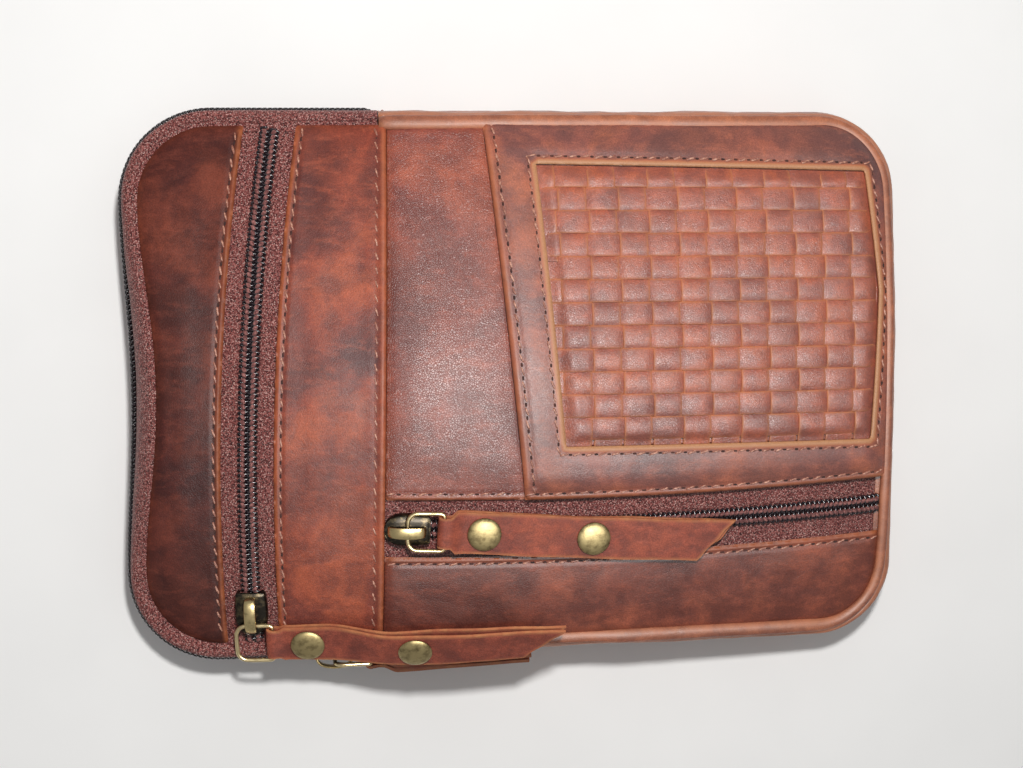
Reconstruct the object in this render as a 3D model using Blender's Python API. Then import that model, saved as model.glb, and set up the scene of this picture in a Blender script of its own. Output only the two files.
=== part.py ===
"""Zippered leather travel pouch lying on its back.

Frame: origin at the centre of the back resting face, X towards the bottom end of the pouch,
Y towards its left side, Z up out of the front. All dimensions below are millimetres.
So "top" is the -X end, "bottom" the +X end, "left" the +Y side and "right" the -Y side.
"""
import bpy
import bmesh
import math
from mathutils import Vector, Matrix
from mathutils.geometry import delaunay_2d_cdt

MM = 0.001

# ---- overall size ----
HALF_LENGTH = 115.0
HALF_WIDTH = 80.0
CREST = Vector((5.0, 0.0, 35.5))        # highest point of the front leather
RADIUS_ACROSS = 270.0                   # bulge radius across the pouch
RADIUS_ALONG = 700.0                    # bulge radius along the pouch
LEAN_ACROSS = math.radians(20.0)
LEAN_ALONG = math.radians(25.0)
YAW_ACROSS = math.radians(3.0)
CORNER_X_TOP, CORNER_X_BOTTOM = -89.0, 91.0     # corner centres along X
CORNER_Y_TOP, CORNER_Y_BOTTOM = 54.0, 56.0      # distance of those centres from Y = 0
BACK_X, BACK_Y = 111.0, 76.0                    # half sizes of the back panel
FRONT_X_TOP, FRONT_X_BOTTOM, FRONT_Y = -110.0, 109.0, 75.3
TOP_END_BOW = 4.5                       # how far the middle of the top end curves inwards

# ---- sheet thicknesses and zip sections ----
LEATHER = 1.4
CLOTH = 0.4
TAPE = 0.6
TAPE_DROP = 1.9                         # tape top below the leather face
TAPE_WIDTH = 13.0
COIL_NEAR, COIL_FAR = 0.5, 2.7          # coil edges measured from the chain centre
COIL_LOW, COIL_HIGH = -1.5, 0.3         # coil faces from the leather, zips on the front
MAIN_COIL_LOW, MAIN_COIL_HIGH = 0.7, 2.2    # coil faces from the wall surface, main zip

# ---- layout ----
SEAM_X_LEFT, SEAM_X_RIGHT = -39.2, -42.4    # cross seam X at the two sides
FOLD_X, FOLD_Z = -59.5, 33.8            # hinge line of the front flap
ZIP_GAP = 7.6                           # leather edge to chain centre
TOP_TRACK_X = -79.5                     # top zip chain on the centre line
POCKET_TRACK_Y = -41.5                  # pocket zip chain at X = POCKET_TRACK_X
POCKET_TRACK_X = 20.0
CHAIN_Z = 14.0                          # height of the main zip chain
ZIP_END_X = -41.0                       # where the main zip meets the gusset

FINISHES = {
    "leather": dict(color=(0.20, 0.055, 0.030), metallic=0.0, roughness=0.5),
    "leather_light": dict(color=(0.33, 0.10, 0.05), metallic=0.0, roughness=0.6),
    "tape": dict(color=(0.09, 0.03, 0.03), metallic=0.0, roughness=0.85),
    "coil": dict(color=(0.03, 0.02, 0.035), metallic=0.0, roughness=0.85),
    "brass": dict(color=(0.42, 0.33, 0.16), metallic=1.0, roughness=0.35),
    "bronze": dict(color=(0.10, 0.085, 0.06), metallic=1.0, roughness=0.45),
    "cloth": dict(color=(0.12, 0.08, 0.06), metallic=0.0, roughness=0.85),
}

# Pieces that turn with the front flap; their origin lies on the fold line.
FOLD_POINT = Vector((FOLD_X, 0, FOLD_Z))
ON_FLAP = ("front_top_panel", "middle_panel_upper", "main_zip_front_tape", "main_zip_front_coil",
           "top_zip_inner_tape", "top_zip_outer_tape", "top_zip_inner_coil", "top_zip_outer_coil",
           "top_pocket_lining")


# ------------------------------------------------------------------ scene and objects
def clear_scene():
    for ob in list(bpy.data.objects):
        bpy.data.objects.remove(ob, do_unlink=True)
    for mesh in list(bpy.data.meshes):
        bpy.data.meshes.remove(mesh)


def make_material(name, kind):
    look = FINISHES[kind]
    mat = bpy.data.materials.new(name + "_mat")
    mat.use_nodes = True
    inputs = mat.node_tree.nodes["Principled BSDF"].inputs
    inputs["Base Color"].default_value = (*look["color"], 1.0)
    inputs["Metallic"].default_value = look["metallic"]
    inputs["Roughness"].default_value = look["roughness"]
    return mat


def add_object(name, verts, faces, kind, smooth=False, origin=None):
    """One closed mesh object; verts in millimetres, origin optionally moved onto a joint axis."""
    if origin is None:
        origin = FOLD_POINT if name in ON_FLAP else (0, 0, 0)
    origin = Vector(origin)
    mesh = bpy.data.meshes.new(name)
    mesh.from_pydata([tuple((Vector(vert) - origin) * MM) for vert in verts], [], faces)
    bm = bmesh.new()
    bm.from_mesh(mesh)
    bmesh.ops.remove_doubles(bm, verts=bm.verts, dist=1e-7)
    bmesh.ops.recalc_face_normals(bm, faces=bm.faces)
    bm.to_mesh(mesh)
    bm.free()
    for polygon in mesh.polygons:
        polygon.use_smooth = smooth
    ob = bpy.data.objects.new(name, mesh)
    ob.location = origin * MM
    bpy.context.scene.collection.objects.link(ob)
    mesh.materials.append(make_material(name, kind))


# ------------------------------------------------------------------ small maths
def smooth_step(x, start, end):
    k = max(0.0, min(1.0, (x - start) / (end - start)))
    return k * k * (3 - 2 * k)


def spread(start, end, count):
    return [start + (end - start) * i / count for i in range(count + 1)]


def solve_station(frame, axis, target, reach):
    """Arc length at which a track frame's point reaches the target coordinate (bisection)."""
    low, high = -reach, reach
    for _ in range(50):
        middle = (low + high) / 2
        if frame(middle)[0][axis] < target:
            low = middle
        else:
            high = middle
    return low


# ------------------------------------------------------------------ front surface
# The surface is one circular arc swept along another. A point on it is given by two arc
# lengths from the crest: "run" along the pouch and "span" across it.
ALONG_DIR = Vector((1, 0, 0))
ALONG_DROP = Vector((0, math.sin(LEAN_ALONG), -math.cos(LEAN_ALONG)))
ACROSS_DIR = Vector((math.sin(YAW_ACROSS), math.cos(YAW_ACROSS), 0))
ACROSS_SIDE = Vector((math.cos(YAW_ACROSS), -math.sin(YAW_ACROSS), 0))
ACROSS_DROP = ACROSS_SIDE * math.sin(LEAN_ACROSS) - Vector((0, 0, 1)) * math.cos(LEAN_ACROSS)


def arc_offset(length, radius, direction, drop):
    angle = length / radius
    return direction * (radius * math.sin(angle)) + drop * (radius * (1 - math.cos(angle)))


def along(run):
    return arc_offset(run, RADIUS_ALONG, ALONG_DIR, ALONG_DROP)


def across(span):
    return arc_offset(span, RADIUS_ACROSS, ACROSS_DIR, ACROSS_DROP)


def surface_point(run, span):
    return CREST + along(run) + across(span)


def solve_arcs(x, y):
    """Run and span of the surface point above (x, y)."""
    run, span = x - CREST.x, y
    for _ in range(12):
        point = surface_point(run, span)
        run += x - point.x
        span += y - point.y
    return run, span


def front_z(x, y):
    return surface_point(*solve_arcs(x, y)).z


def front_offset(distance):
    """Height function a given distance above the front surface."""
    return lambda x, y: front_z(x, y) + distance


def surface_axes(run, span):
    """Normal and the two tangents, along and across."""
    angle_run, angle_span = run / RADIUS_ALONG, span / RADIUS_ACROSS
    tan_run = ALONG_DIR * math.cos(angle_run) + ALONG_DROP * math.sin(angle_run)
    tan_span = ACROSS_DIR * math.cos(angle_span) + ACROSS_DROP * math.sin(angle_span)
    return tan_run.cross(tan_span).normalized(), tan_run, tan_span


TOP_RUN = solve_arcs(TOP_TRACK_X, 0)[0]
POCKET_SPAN = solve_arcs(POCKET_TRACK_X, POCKET_TRACK_Y)[1]

# Axes about which the two front sliders travel.
TOP_ARC_CENTRE = CREST + along(TOP_RUN) + ACROSS_DROP * RADIUS_ACROSS
POCKET_ARC_CENTRE = CREST + across(POCKET_SPAN) + ALONG_DROP * RADIUS_ALONG


def top_frame(span):
    """Point, tangent (+Y), lateral (+X) and up on the top zip track."""
    normal, _, tan_span = surface_axes(TOP_RUN, span)
    tangent = tan_span.normalized()
    lateral = tangent.cross(normal).normalized()
    return surface_point(TOP_RUN, span), tangent, lateral, normal


def pocket_frame(run):
    """Point, tangent (+X), lateral (+Y) and up on the pocket zip track."""
    normal, tan_run, _ = surface_axes(run, POCKET_SPAN)
    tangent = tan_run.normalized()
    lateral = normal.cross(tangent).normalized()
    return surface_point(run, POCKET_SPAN), tangent, lateral, normal


def top_span(y):
    return solve_station(top_frame, 1, y, 100.0)


def pocket_run(x):
    return solve_station(pocket_frame, 0, x, 160.0)


def top_track_x(y, offset):
    """X of a line beside the top zip chain."""
    point, _, lateral, _ = top_frame(top_span(y))
    return point.x + offset * lateral.x


def pocket_track_y(x, offset):
    """Y of a line beside the pocket zip chain."""
    point, _, lateral, _ = pocket_frame(pocket_run(x))
    return point.y + offset * lateral.y


def seam_x(y):
    return SEAM_X_LEFT + (SEAM_X_RIGHT - SEAM_X_LEFT) * (FRONT_Y - y) / (2 * FRONT_Y)


# ------------------------------------------------------------------ outlines
RIGHT_SIDE, LEFT_SIDE, TOP_END = 0, 4, 6        # contour pieces used by number below
PIECE_STEPS = (12, 6, 8, 6, 12, 7, 10, 7)       # steps on each contour piece


def contour(piece, frac, x_top, x_bottom, y, bow=0.0):
    """Point on a rounded outline, anticlockwise seen from +Z. Pieces: 0 right side (-X to +X),
    1 bottom right corner, 2 bottom end (-Y to +Y), 3 bottom left corner, 4 left side
    (+X to -X), 5 top left corner, 6 top end (+Y to -Y), 7 top right corner."""
    if piece == RIGHT_SIDE:
        return Vector((CORNER_X_TOP + (CORNER_X_BOTTOM - CORNER_X_TOP) * frac, -y))
    if piece == 2:
        return Vector((x_bottom, -CORNER_Y_BOTTOM + 2 * CORNER_Y_BOTTOM * frac))
    if piece == LEFT_SIDE:
        return Vector((CORNER_X_BOTTOM + (CORNER_X_TOP - CORNER_X_BOTTOM) * frac, y))
    if piece == TOP_END:
        end_y = CORNER_Y_TOP - 2 * CORNER_Y_TOP * frac
        k = 1 - (end_y / CORNER_Y_TOP) ** 2
        return Vector((x_top + bow * k * k, end_y))
    start = {1: -math.pi / 2, 3: 0.0, 5: math.pi / 2, 7: math.pi}[piece]
    angle = start + math.pi / 2 * frac
    if piece in (1, 3):
        x = CORNER_X_BOTTOM + (x_bottom - CORNER_X_BOTTOM) * math.cos(angle)
        centre_y = CORNER_Y_BOTTOM
    else:
        x = CORNER_X_TOP + (CORNER_X_TOP - x_top) * math.cos(angle)
        centre_y = CORNER_Y_TOP
    side = -1 if piece in (1, 7) else 1
    return Vector((x, side * centre_y + (y - centre_y) * math.sin(angle)))


def closed_outline(edge):
    """Whole outline of an edge function of (piece, frac)."""
    return [edge(piece, i / steps) for piece, steps in enumerate(PIECE_STEPS)
            for i in range(steps)]


def front_edge(piece, frac, offset=0.0):
    return contour(piece, frac, FRONT_X_TOP - offset, FRONT_X_BOTTOM + offset,
                   FRONT_Y + offset, TOP_END_BOW)


def clip_at_x(poly, limit, side):
    """Keep the part of a polygon on the +X (side = 1) or -X (side = -1) side of a limit."""
    out = []
    for i, start in enumerate(poly):
        end = poly[(i + 1) % len(poly)]
        from_start = (start.x - limit) * side
        from_end = (end.x - limit) * side
        if from_start >= 0:
            out.append(start)
        if (from_start >= 0) != (from_end >= 0):
            out.append(start + (end - start) * (from_start / (from_start - from_end)))
    return out


def clip_at_curve(poly, curve, keep_beyond, y_of_x=False):
    """Keep the part of a polygon on one side of a curve x = curve(y), or y = curve(x)."""
    def distance(point):
        gap = (point.y - curve(point.x)) if y_of_x else (point.x - curve(point.y))
        return gap if keep_beyond else -gap

    def crossing(start, end):
        from_start, from_end = distance(start), distance(end)
        return start + (end - start) * (from_start / (from_start - from_end))

    dense = []
    for i, start in enumerate(poly):
        end = poly[(i + 1) % len(poly)]
        parts = max(1, int((end - start).length / 2.0))
        for j in range(parts):
            dense.append(start + (end - start) * (j / parts))

    keep = [distance(point) >= 0 for point in dense]
    total = len(dense)
    begin = next(i for i in range(total) if keep[i] and not keep[i - 1])
    kept = []
    i = begin
    while keep[i % total] and len(kept) <= total:
        kept.append(dense[i % total])
        i += 1
    first = crossing(dense[begin - 1], dense[begin])
    last = crossing(dense[(i - 1) % total], dense[i % total])

    steps = 14
    cut = []
    for k in range(1, steps):
        if y_of_x:
            x = last.x + (first.x - last.x) * (k / steps)
            cut.append(Vector((x, curve(x))))
        else:
            y = last.y + (first.y - last.y) * (k / steps)
            cut.append(Vector((curve(y), y)))
    return [first] + kept + [last] + cut


def resample(poly, step):
    """Drop near-coincident points, then thin and resample an outline to about the step."""
    points = []
    for point in poly:
        if not points or (point - points[-1]).length > 1e-3:
            points.append(point)
    if (points[0] - points[-1]).length < 1e-3:
        points.pop()
    # remove points that lie on a nearly straight run shorter than the step
    changed = True
    while changed and len(points) > 8:
        changed = False
        for i in range(len(points)):
            before = points[i] - points[i - 1]
            after = points[(i + 1) % len(points)] - points[i]
            turn = (abs(before.x * after.y - before.y * after.x)
                    / max(1e-9, (before.length * after.length)))
            if before.length + after.length < step and turn < 0.12:
                points.pop(i)
                changed = True
                break
    out = []
    for i, start in enumerate(points):
        end = points[(i + 1) % len(points)]
        parts = max(1, int(math.ceil((end - start).length / step)))
        for j in range(parts):
            out.append(start + (end - start) * (j / parts))
    return out


def is_inside(point, poly):
    result = False
    for i, end in enumerate(poly):
        start = poly[i - 1]
        if (end.y > point.y) != (start.y > point.y):
            if point.x < (start.x - end.x) * (point.y - end.y) / (start.y - end.y) + end.x:
                result = not result
    return result


def edge_distance(point, poly):
    best = 1e9
    for i, end in enumerate(poly):
        start = poly[i - 1]
        edge = end - start
        frac = (point - start).dot(edge) / max(1e-12, edge.length_squared)
        frac = max(0.0, min(1.0, frac))
        best = min(best, (point - (start + edge * frac)).length)
    return best


# ------------------------------------------------------------------ solid builders
def grid_points(loops, step):
    """Grid points inside the first loop, outside the others and clear of every edge."""
    xs = [point.x for point in loops[0]]
    ys = [point.y for point in loops[0]]
    x_min, x_max, y_min, y_max = min(xs), max(xs), min(ys), max(ys)
    columns = max(1, int(round((x_max - x_min) / step)))
    rows = max(1, int(round((y_max - y_min) / step)))
    out = []
    for i in range(1, columns):
        for j in range(1, rows):
            point = Vector((x_min + (x_max - x_min) * i / columns,
                            y_min + (y_max - y_min) * j / rows))
            if not is_inside(point, loops[0]) or any(is_inside(point, h) for h in loops[1:]):
                continue
            if min(edge_distance(point, loop) for loop in loops) > step * 0.4:
                out.append(point)
    return out


def sheet(name, outline, top, bottom, kind, step, holes=()):
    """Closed solid between two height functions over a flat outline with optional holes."""
    loops = [resample(loop, step) for loop in (outline, *holes)]
    points, edges = [], []
    for loop in loops:
        first = len(points)
        points += loop
        edges += [(first + i, first + (i + 1) % len(loop)) for i in range(len(loop))]
    points += grid_points(loops, step)
    flat, _, triangles, _, _, _ = delaunay_2d_cdt(points, edges, [], 2, 1e-6)

    count = len(flat)
    verts = [(p.x, p.y, height(p.x, p.y)) for height in (top, bottom) for p in flat]
    faces = []
    border = {}     # undirected edge -> directed edge, or None once it is shared
    for face in triangles:
        middle = Vector((sum(flat[i].x for i in face) / len(face),
                         sum(flat[i].y for i in face) / len(face)))
        if any(is_inside(middle, hole) for hole in loops[1:]):
            continue
        faces.append(tuple(face))
        faces.append(tuple(count + i for i in reversed(face)))
        for i in range(len(face)):
            edge = (face[i], face[(i + 1) % len(face)])
            key = (min(edge), max(edge))
            border[key] = None if key in border else edge
    for edge in border.values():
        if edge is not None:
            faces.append((edge[1], edge[0], count + edge[0], count + edge[1]))
    add_object(name, verts, faces, kind, smooth=True)


def slab(name, outer, inner, kind):
    """Closed solid between two equal grids of points."""
    rows, cols = len(outer), len(outer[0])
    verts = [point for grid in (outer, inner) for row in grid for point in row]
    back = rows * cols      # index offset of the inner grid
    faces = []
    for i in range(rows - 1):
        for j in range(cols - 1):
            quad = (i * cols + j, i * cols + j + 1, (i + 1) * cols + j + 1, (i + 1) * cols + j)
            faces.append(quad)
            faces.append(tuple(back + k for k in reversed(quad)))
    rims = [(i * cols + j, (i + 1) * cols + j) for i in range(rows - 1) for j in (0, cols - 1)]
    rims += [(i * cols + j, i * cols + j + 1) for j in range(cols - 1) for i in (0, rows - 1)]
    faces += [(start, end, back + end, back + start) for start, end in rims]
    add_object(name, verts, faces, kind, smooth=True)


def loft(name, rings, kind, closed=False, smooth=False, origin=None):
    """Tube through equal rings; ends capped unless closed."""
    total, sides = len(rings), len(rings[0])
    verts = [point for ring in rings for point in ring]
    faces = []
    for i in range(total if closed else total - 1):
        here, there = i * sides, ((i + 1) % total) * sides
        for j in range(sides):
            k = (j + 1) % sides
            faces.append((here + j, here + k, there + k, there + j))
    if not closed:
        faces.append(tuple(reversed(range(sides))))
        faces.append(tuple((total - 1) * sides + j for j in range(sides)))
    add_object(name, verts, faces, kind, smooth, origin)


def coil_section(point, lateral, up, side, low, high):
    """Chamfered section of one half of a zip chain."""
    near, far = side * COIL_NEAR, side * COIL_FAR
    corners = ((near, low), (far, low), (far, high - 0.5), (far - side * 0.6, high),
               (near + side * 0.4, high), (near, high - 0.5))
    return [point + lateral * out + up * height for out, height in corners]


# ------------------------------------------------------------------ back
# (inset from the rim, underside Z) from the rim inwards
BACK_PANEL_RINGS = ((0.0, 2.6), (2.5, 1.0), (6.0, 0.0))
BACK_LINING_RINGS = ((1.2, 4.3), (3.2, 2.8), (6.8, 1.7))


def dish(name, rings, thickness, kind):
    """Closed shallow dish with a flat middle. Each ring stores its lower then its upper loop."""
    verts, faces = [], []
    for inset, z_low in rings:
        half_x, half_y = BACK_X - inset, BACK_Y - inset
        base = closed_outline(lambda piece, frac: contour(piece, frac, -half_x, half_x, half_y))
        for z in (z_low, z_low + thickness):
            verts += [(point.x, point.y, z) for point in base]
    count = sum(PIECE_STEPS)
    for ring in range(len(rings) - 1):
        here, there = ring * 2 * count, (ring + 1) * 2 * count
        for i in range(count):
            j = (i + 1) % count
            faces.append((here + i, here + j, there + j, there + i))
            faces.append((here + count + i, there + count + i,
                          there + count + j, here + count + j))
    for i in range(count):
        j = (i + 1) % count
        faces.append((i, count + i, count + j, j))
    last = (len(rings) - 1) * 2 * count
    faces.append(tuple(last + i for i in range(count)))
    faces.append(tuple(last + count + i for i in reversed(range(count))))
    add_object(name, verts, faces, kind)


def build_back():
    dish("back_panel", BACK_PANEL_RINGS, LEATHER, "leather")
    dish("back_lining", BACK_LINING_RINGS, CLOTH, "cloth")


# ------------------------------------------------------------------ side wall
WALL_OVERHANG = 1.9         # wall seams outside the back and front edges
WALL_BACK_Z = 2.2
WALL_FRONT_DROP = 0.5       # front seam below the front surface
MAIN_TAPE_INSET = 1.9       # main zip inside the silhouette
CHAIN_WALL = 0.5            # wall fraction of the chain centre
TAPE_WALL_LOW, TAPE_WALL_HIGH = 0.46, 0.54      # wall fractions of the tape edges
ZIP_END_GAP = 0.4
LINING_GAP = 0.3
TOP_END_STEPS = 22          # steps per whole side length on the zipped end


def wall_point(piece, frac, wall, out=0.0, inset=0.0):
    """Point and outward normal on the wall between the back seam (wall = 0) and the front
    seam (wall = 1); out moves the point along the normal, inset narrows the widest part."""
    back = contour(piece, frac, -BACK_X - WALL_OVERHANG, BACK_X + WALL_OVERHANG,
                   BACK_Y + WALL_OVERHANG)
    front = front_edge(piece, frac, WALL_OVERHANG)
    middle = contour(piece, frac, -HALF_LENGTH + inset, HALF_LENGTH - inset,
                     HALF_WIDTH - inset, TOP_END_BOW * 0.5)
    front_height = front_z(*front_edge(piece, frac)) - WALL_FRONT_DROP
    back = Vector((back.x, back.y, WALL_BACK_Z))
    middle = Vector((middle.x, middle.y, CHAIN_Z))
    front = Vector((front.x, front.y, front_height))
    # quadratic curve that passes through the middle point halfway up
    control = 2 * middle - (back + front) / 2
    point = back * (1 - wall) ** 2 + control * (2 * wall * (1 - wall)) + front * wall * wall
    rise = (control - back) * (2 * (1 - wall)) + (front - control) * (2 * wall)
    before = contour(piece, frac - 0.02, -HALF_LENGTH, HALF_LENGTH, HALF_WIDTH)
    after = contour(piece, frac + 0.02, -HALF_LENGTH, HALF_LENGTH, HALF_WIDTH)
    tangent = Vector((after.x - before.x, after.y - before.y, 0)).normalized()
    normal = tangent.cross(rise).normalized()
    return point + normal * out, normal


def side_frac(piece, x):
    """Fraction along the right or left side at a given X."""
    length = CORNER_X_BOTTOM - CORNER_X_TOP
    return ((x - CORNER_X_TOP) if piece == RIGHT_SIDE else (CORNER_X_BOTTOM - x)) / length


def bottom_stations(x):
    """Stations (piece, frac) round the bottom end, from X = x on the right to X = x on the left."""
    right, left = side_frac(RIGHT_SIDE, x), side_frac(LEFT_SIDE, x)
    steps = max(2, int(round((1 - right) * PIECE_STEPS[RIGHT_SIDE])))
    stations = [(RIGHT_SIDE, right + (1 - right) * i / steps) for i in range(steps)]
    for piece in (1, 2, 3):
        stations += [(piece, i / PIECE_STEPS[piece]) for i in range(PIECE_STEPS[piece])]
    steps = max(2, int(round(left * PIECE_STEPS[LEFT_SIDE])))
    return stations + [(LEFT_SIDE, left * i / steps) for i in range(steps + 1)]


def top_stations(x):
    """Stations (piece, frac) round the top end, from X = x on the right to X = x on the left."""
    right, left = side_frac(RIGHT_SIDE, x), side_frac(LEFT_SIDE, x)
    steps = max(3, int(round(right * TOP_END_STEPS)))
    stations = [(RIGHT_SIDE, right * (1 - i / steps)) for i in range(steps)]
    for piece in (7, 6, 5):
        stations += [(piece, 1 - i / PIECE_STEPS[piece]) for i in range(PIECE_STEPS[piece])]
    steps = max(3, int(round((1 - left) * TOP_END_STEPS)))
    return stations + [(LEFT_SIDE, 1 - (1 - left) * i / steps) for i in range(steps + 1)]


def wall_band(name, stations, walls, outs, kind, steps, inset=0.0):
    """Strip of wall between two wall fractions and two offsets (inner, outer)."""
    inner, outer = [[[wall_point(piece, frac, wall, out, inset)[0]
                      for wall in spread(walls[0], walls[1], steps)]
                     for piece, frac in stations] for out in outs]
    slab(name, outer, inner, kind)


def main_zip_tape(name, stations, walls):
    wall_band(name, stations, walls, (-TAPE, 0.0), "tape", 2, MAIN_TAPE_INSET)


def main_zip_coil(name, stations, side):
    rings = []
    for piece, frac in stations:
        point, normal = wall_point(piece, frac, CHAIN_WALL, 0.0, MAIN_TAPE_INSET)
        rings.append(coil_section(point, Vector((0, 0, 1)), normal, side,
                                  MAIN_COIL_LOW, MAIN_COIL_HIGH))
    loft(name, rings, "coil")


def build_wall():
    gusset = bottom_stations(ZIP_END_X + ZIP_END_GAP)
    wall_band("gusset_strip", gusset, (0.0, 1.0), (-LEATHER, 0.0), "leather", 5)
    lining_face = -LEATHER - LINING_GAP
    wall_band("gusset_lining", gusset, (0.12, 0.86), (lining_face - CLOTH, lining_face),
              "cloth", 4)

    back_walls, front_walls = (0.0, TAPE_WALL_LOW), (TAPE_WALL_HIGH, 1.0)
    back_half = top_stations(ZIP_END_X - ZIP_END_GAP)
    flap_half = top_stations(FOLD_X - 3.5)
    main_zip_tape("main_zip_back_tape", back_half, back_walls)
    main_zip_tape("main_zip_front_tape", flap_half, front_walls)
    main_zip_coil("main_zip_back_coil", back_half, -1)
    main_zip_coil("main_zip_front_coil", flap_half, 1)

    # short front halves between the fold and the zip ends, which stay put when the flap turns
    for tag, piece in (("right", RIGHT_SIDE), ("left", LEFT_SIDE)):
        stations = [(piece, side_frac(piece, x))
                    for x in spread(FOLD_X - 2.9, ZIP_END_X - ZIP_END_GAP, 3)]
        main_zip_tape("main_zip_front_tape_end_" + tag, stations, front_walls)
        main_zip_coil("main_zip_front_coil_end_" + tag, stations, 1)


# ------------------------------------------------------------------ front leather
FOLD_HALF_GAP = 0.2
SEAM_HALF_GAP = 0.15
POCKET_GAP_LEFT = ZIP_GAP + 0.9     # pocket zip chain to the leather on its left
POCKET_GAP_RIGHT = ZIP_GAP + 1.0    # pocket zip chain to the leather on its right


def build_front_panels():
    """Five leather panels; returns the outline of the one that carries the slip pocket."""
    def panel(name, outline, step):
        sheet(name, outline, front_offset(0), front_offset(-LEATHER), "leather", step)

    whole = closed_outline(front_edge)
    above_zip = clip_at_curve(whole, lambda y: top_track_x(y, -ZIP_GAP), False)
    panel("front_top_panel", above_zip, 10.0)
    below_zip = clip_at_curve(whole, lambda y: top_track_x(y, ZIP_GAP), True)
    panel("middle_panel_upper", clip_at_x(below_zip, FOLD_X - FOLD_HALF_GAP, -1), 10.0)
    below_fold = clip_at_x(whole, FOLD_X + FOLD_HALF_GAP, 1)
    middle = clip_at_curve(below_fold, lambda y: seam_x(y) - SEAM_HALF_GAP, False)
    panel("middle_panel", middle, 10.0)
    below_seam = clip_at_curve(whole, lambda y: seam_x(y) + SEAM_HALF_GAP, True)
    base = clip_at_curve(below_seam, lambda x: pocket_track_y(x, POCKET_GAP_LEFT), True, True)
    panel("pocket_base_panel", base, 13.0)
    side = clip_at_curve(below_seam, lambda x: pocket_track_y(x, -POCKET_GAP_RIGHT),
                         False, True)
    panel("side_panel", side, 11.0)
    return base


# ------------------------------------------------------------------ slip pocket
MOUTH_X_LEFT, MOUTH_X_RIGHT = -11.3, -1.0   # mouth X at Y = FRONT_Y and at MOUTH_RIGHT_Y
MOUTH_RIGHT_Y = -32.0
SLIP_CLEARANCE = 0.3        # pocket underside above the base panel at the sewn edges
SLIP_RISE = 1.5             # extra height away from the sewn edges
SLIP_RAMP = 7.0             # distance over which that height is gained
SLIP_THICKNESS = 1.2
# corners (x, y) of the opening in the pocket panel
WINDOW = [Vector(corner) for corner in
          ((10.8, -17.6), (103.6, -18.0), (106.3, 26.0), (102.8, 61.6), (3.6, 63.6))]


def mouth_x(y):
    return MOUTH_X_LEFT + ((MOUTH_X_RIGHT - MOUTH_X_LEFT) * (FRONT_Y - y)
                           / (FRONT_Y - MOUTH_RIGHT_Y))


def move_corners(poly, distance):
    """Move each corner along the mean of its two outward edge normals."""
    centre = sum(poly, Vector((0, 0))) / len(poly)
    out = []
    for i, corner in enumerate(poly):
        before = corner - poly[i - 1]
        after = poly[(i + 1) % len(poly)] - corner
        normal = (Vector((before.y, -before.x)).normalized()
                  + Vector((after.y, -after.x)).normalized()).normalized()
        if normal.dot(corner - centre) < 0:
            normal = -normal
        out.append(corner + normal * distance)
    return out


def build_slip_pocket(base):
    outline = clip_at_curve(base, mouth_x, True)
    border = resample(outline, 6.0)

    def rise(x, y):
        distance = edge_distance(Vector((x, y)), border)
        # the mouth is open, so where it is the nearest edge the full height is kept
        if abs(x - mouth_x(y)) <= distance + 0.8:
            return 1.0
        return smooth_step(distance, 0.0, SLIP_RAMP)

    def underside(x, y):
        return front_z(x, y) + SLIP_CLEARANCE + SLIP_RISE * rise(x, y)

    def face(x, y):
        return underside(x, y) + SLIP_THICKNESS

    sheet("slip_pocket_panel", outline, face, underside, "leather", 9.0, holes=[WINDOW])
    sheet("woven_patch", move_corners(WINDOW, -0.6), front_offset(2.6), front_offset(1.0),
          "leather_light", 12.0)
    sheet("woven_patch_backing", WINDOW, front_offset(0.7), front_offset(0.3), "cloth", 13.0)


# ------------------------------------------------------------------ zips on the front
TOP_ZIP_HALF_Y = 73.0
POCKET_ZIP_SEAM_GAP = 1.2
POCKET_ZIP_END_GAP = 1.6


def front_zip(prefix, frame, stations, halves):
    """Tape and coil for each (tag, side of the chain)."""
    for tag, side in halves:
        tape, coil = [], []
        near, far = side * COIL_NEAR, side * TAPE_WIDTH
        high, low = -TAPE_DROP, -TAPE_DROP - TAPE
        for station in stations:
            point, _, lateral, up = frame(station)
            tape.append([point + lateral * out + up * height for out, height in
                         ((near, high), (far, high), (far, low), (near, low))])
            coil.append(coil_section(point, lateral, up, side, COIL_LOW, COIL_HIGH))
        loft("%s_zip_%s_tape" % (prefix, tag), tape, "tape")
        loft("%s_zip_%s_coil" % (prefix, tag), coil, "coil")


def build_front_zips():
    stations = spread(top_span(-TOP_ZIP_HALF_Y), top_span(TOP_ZIP_HALF_Y), 18)
    front_zip("top", top_frame, stations, (("outer", -1), ("inner", 1)))
    stations = spread(pocket_run(seam_x(POCKET_TRACK_Y) + POCKET_ZIP_SEAM_GAP),
                      pocket_run(FRONT_X_BOTTOM - POCKET_ZIP_END_GAP), 12)
    front_zip("pocket", pocket_frame, stations, (("lower", -1), ("upper", 1)))


# ------------------------------------------------------------------ linings behind the front
# (offset from the chain, depth below the front surface)
TOP_LINING_ROWS = ((-16.5, 2.9), (-12.5, 2.9), (-9.0, 6.0), (-3.0, 7.5),
                   (3.0, 7.5), (9.0, 6.0), (12.5, 2.9), (16.5, 2.9))
SIDE_LINING_ROWS = ((-17.5, 2.9), (-13.6, 2.9), (-9.5, 6.0), (-3.0, 7.5),
                    (3.0, 7.5), (9.5, 6.0), (13.6, 2.9), (17.5, 2.9))
DIVIDER_INSET = 5.5
DIVIDER_X = -37.5           # top edge of the divider
DIVIDER_DEPTH = 10.6


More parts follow.
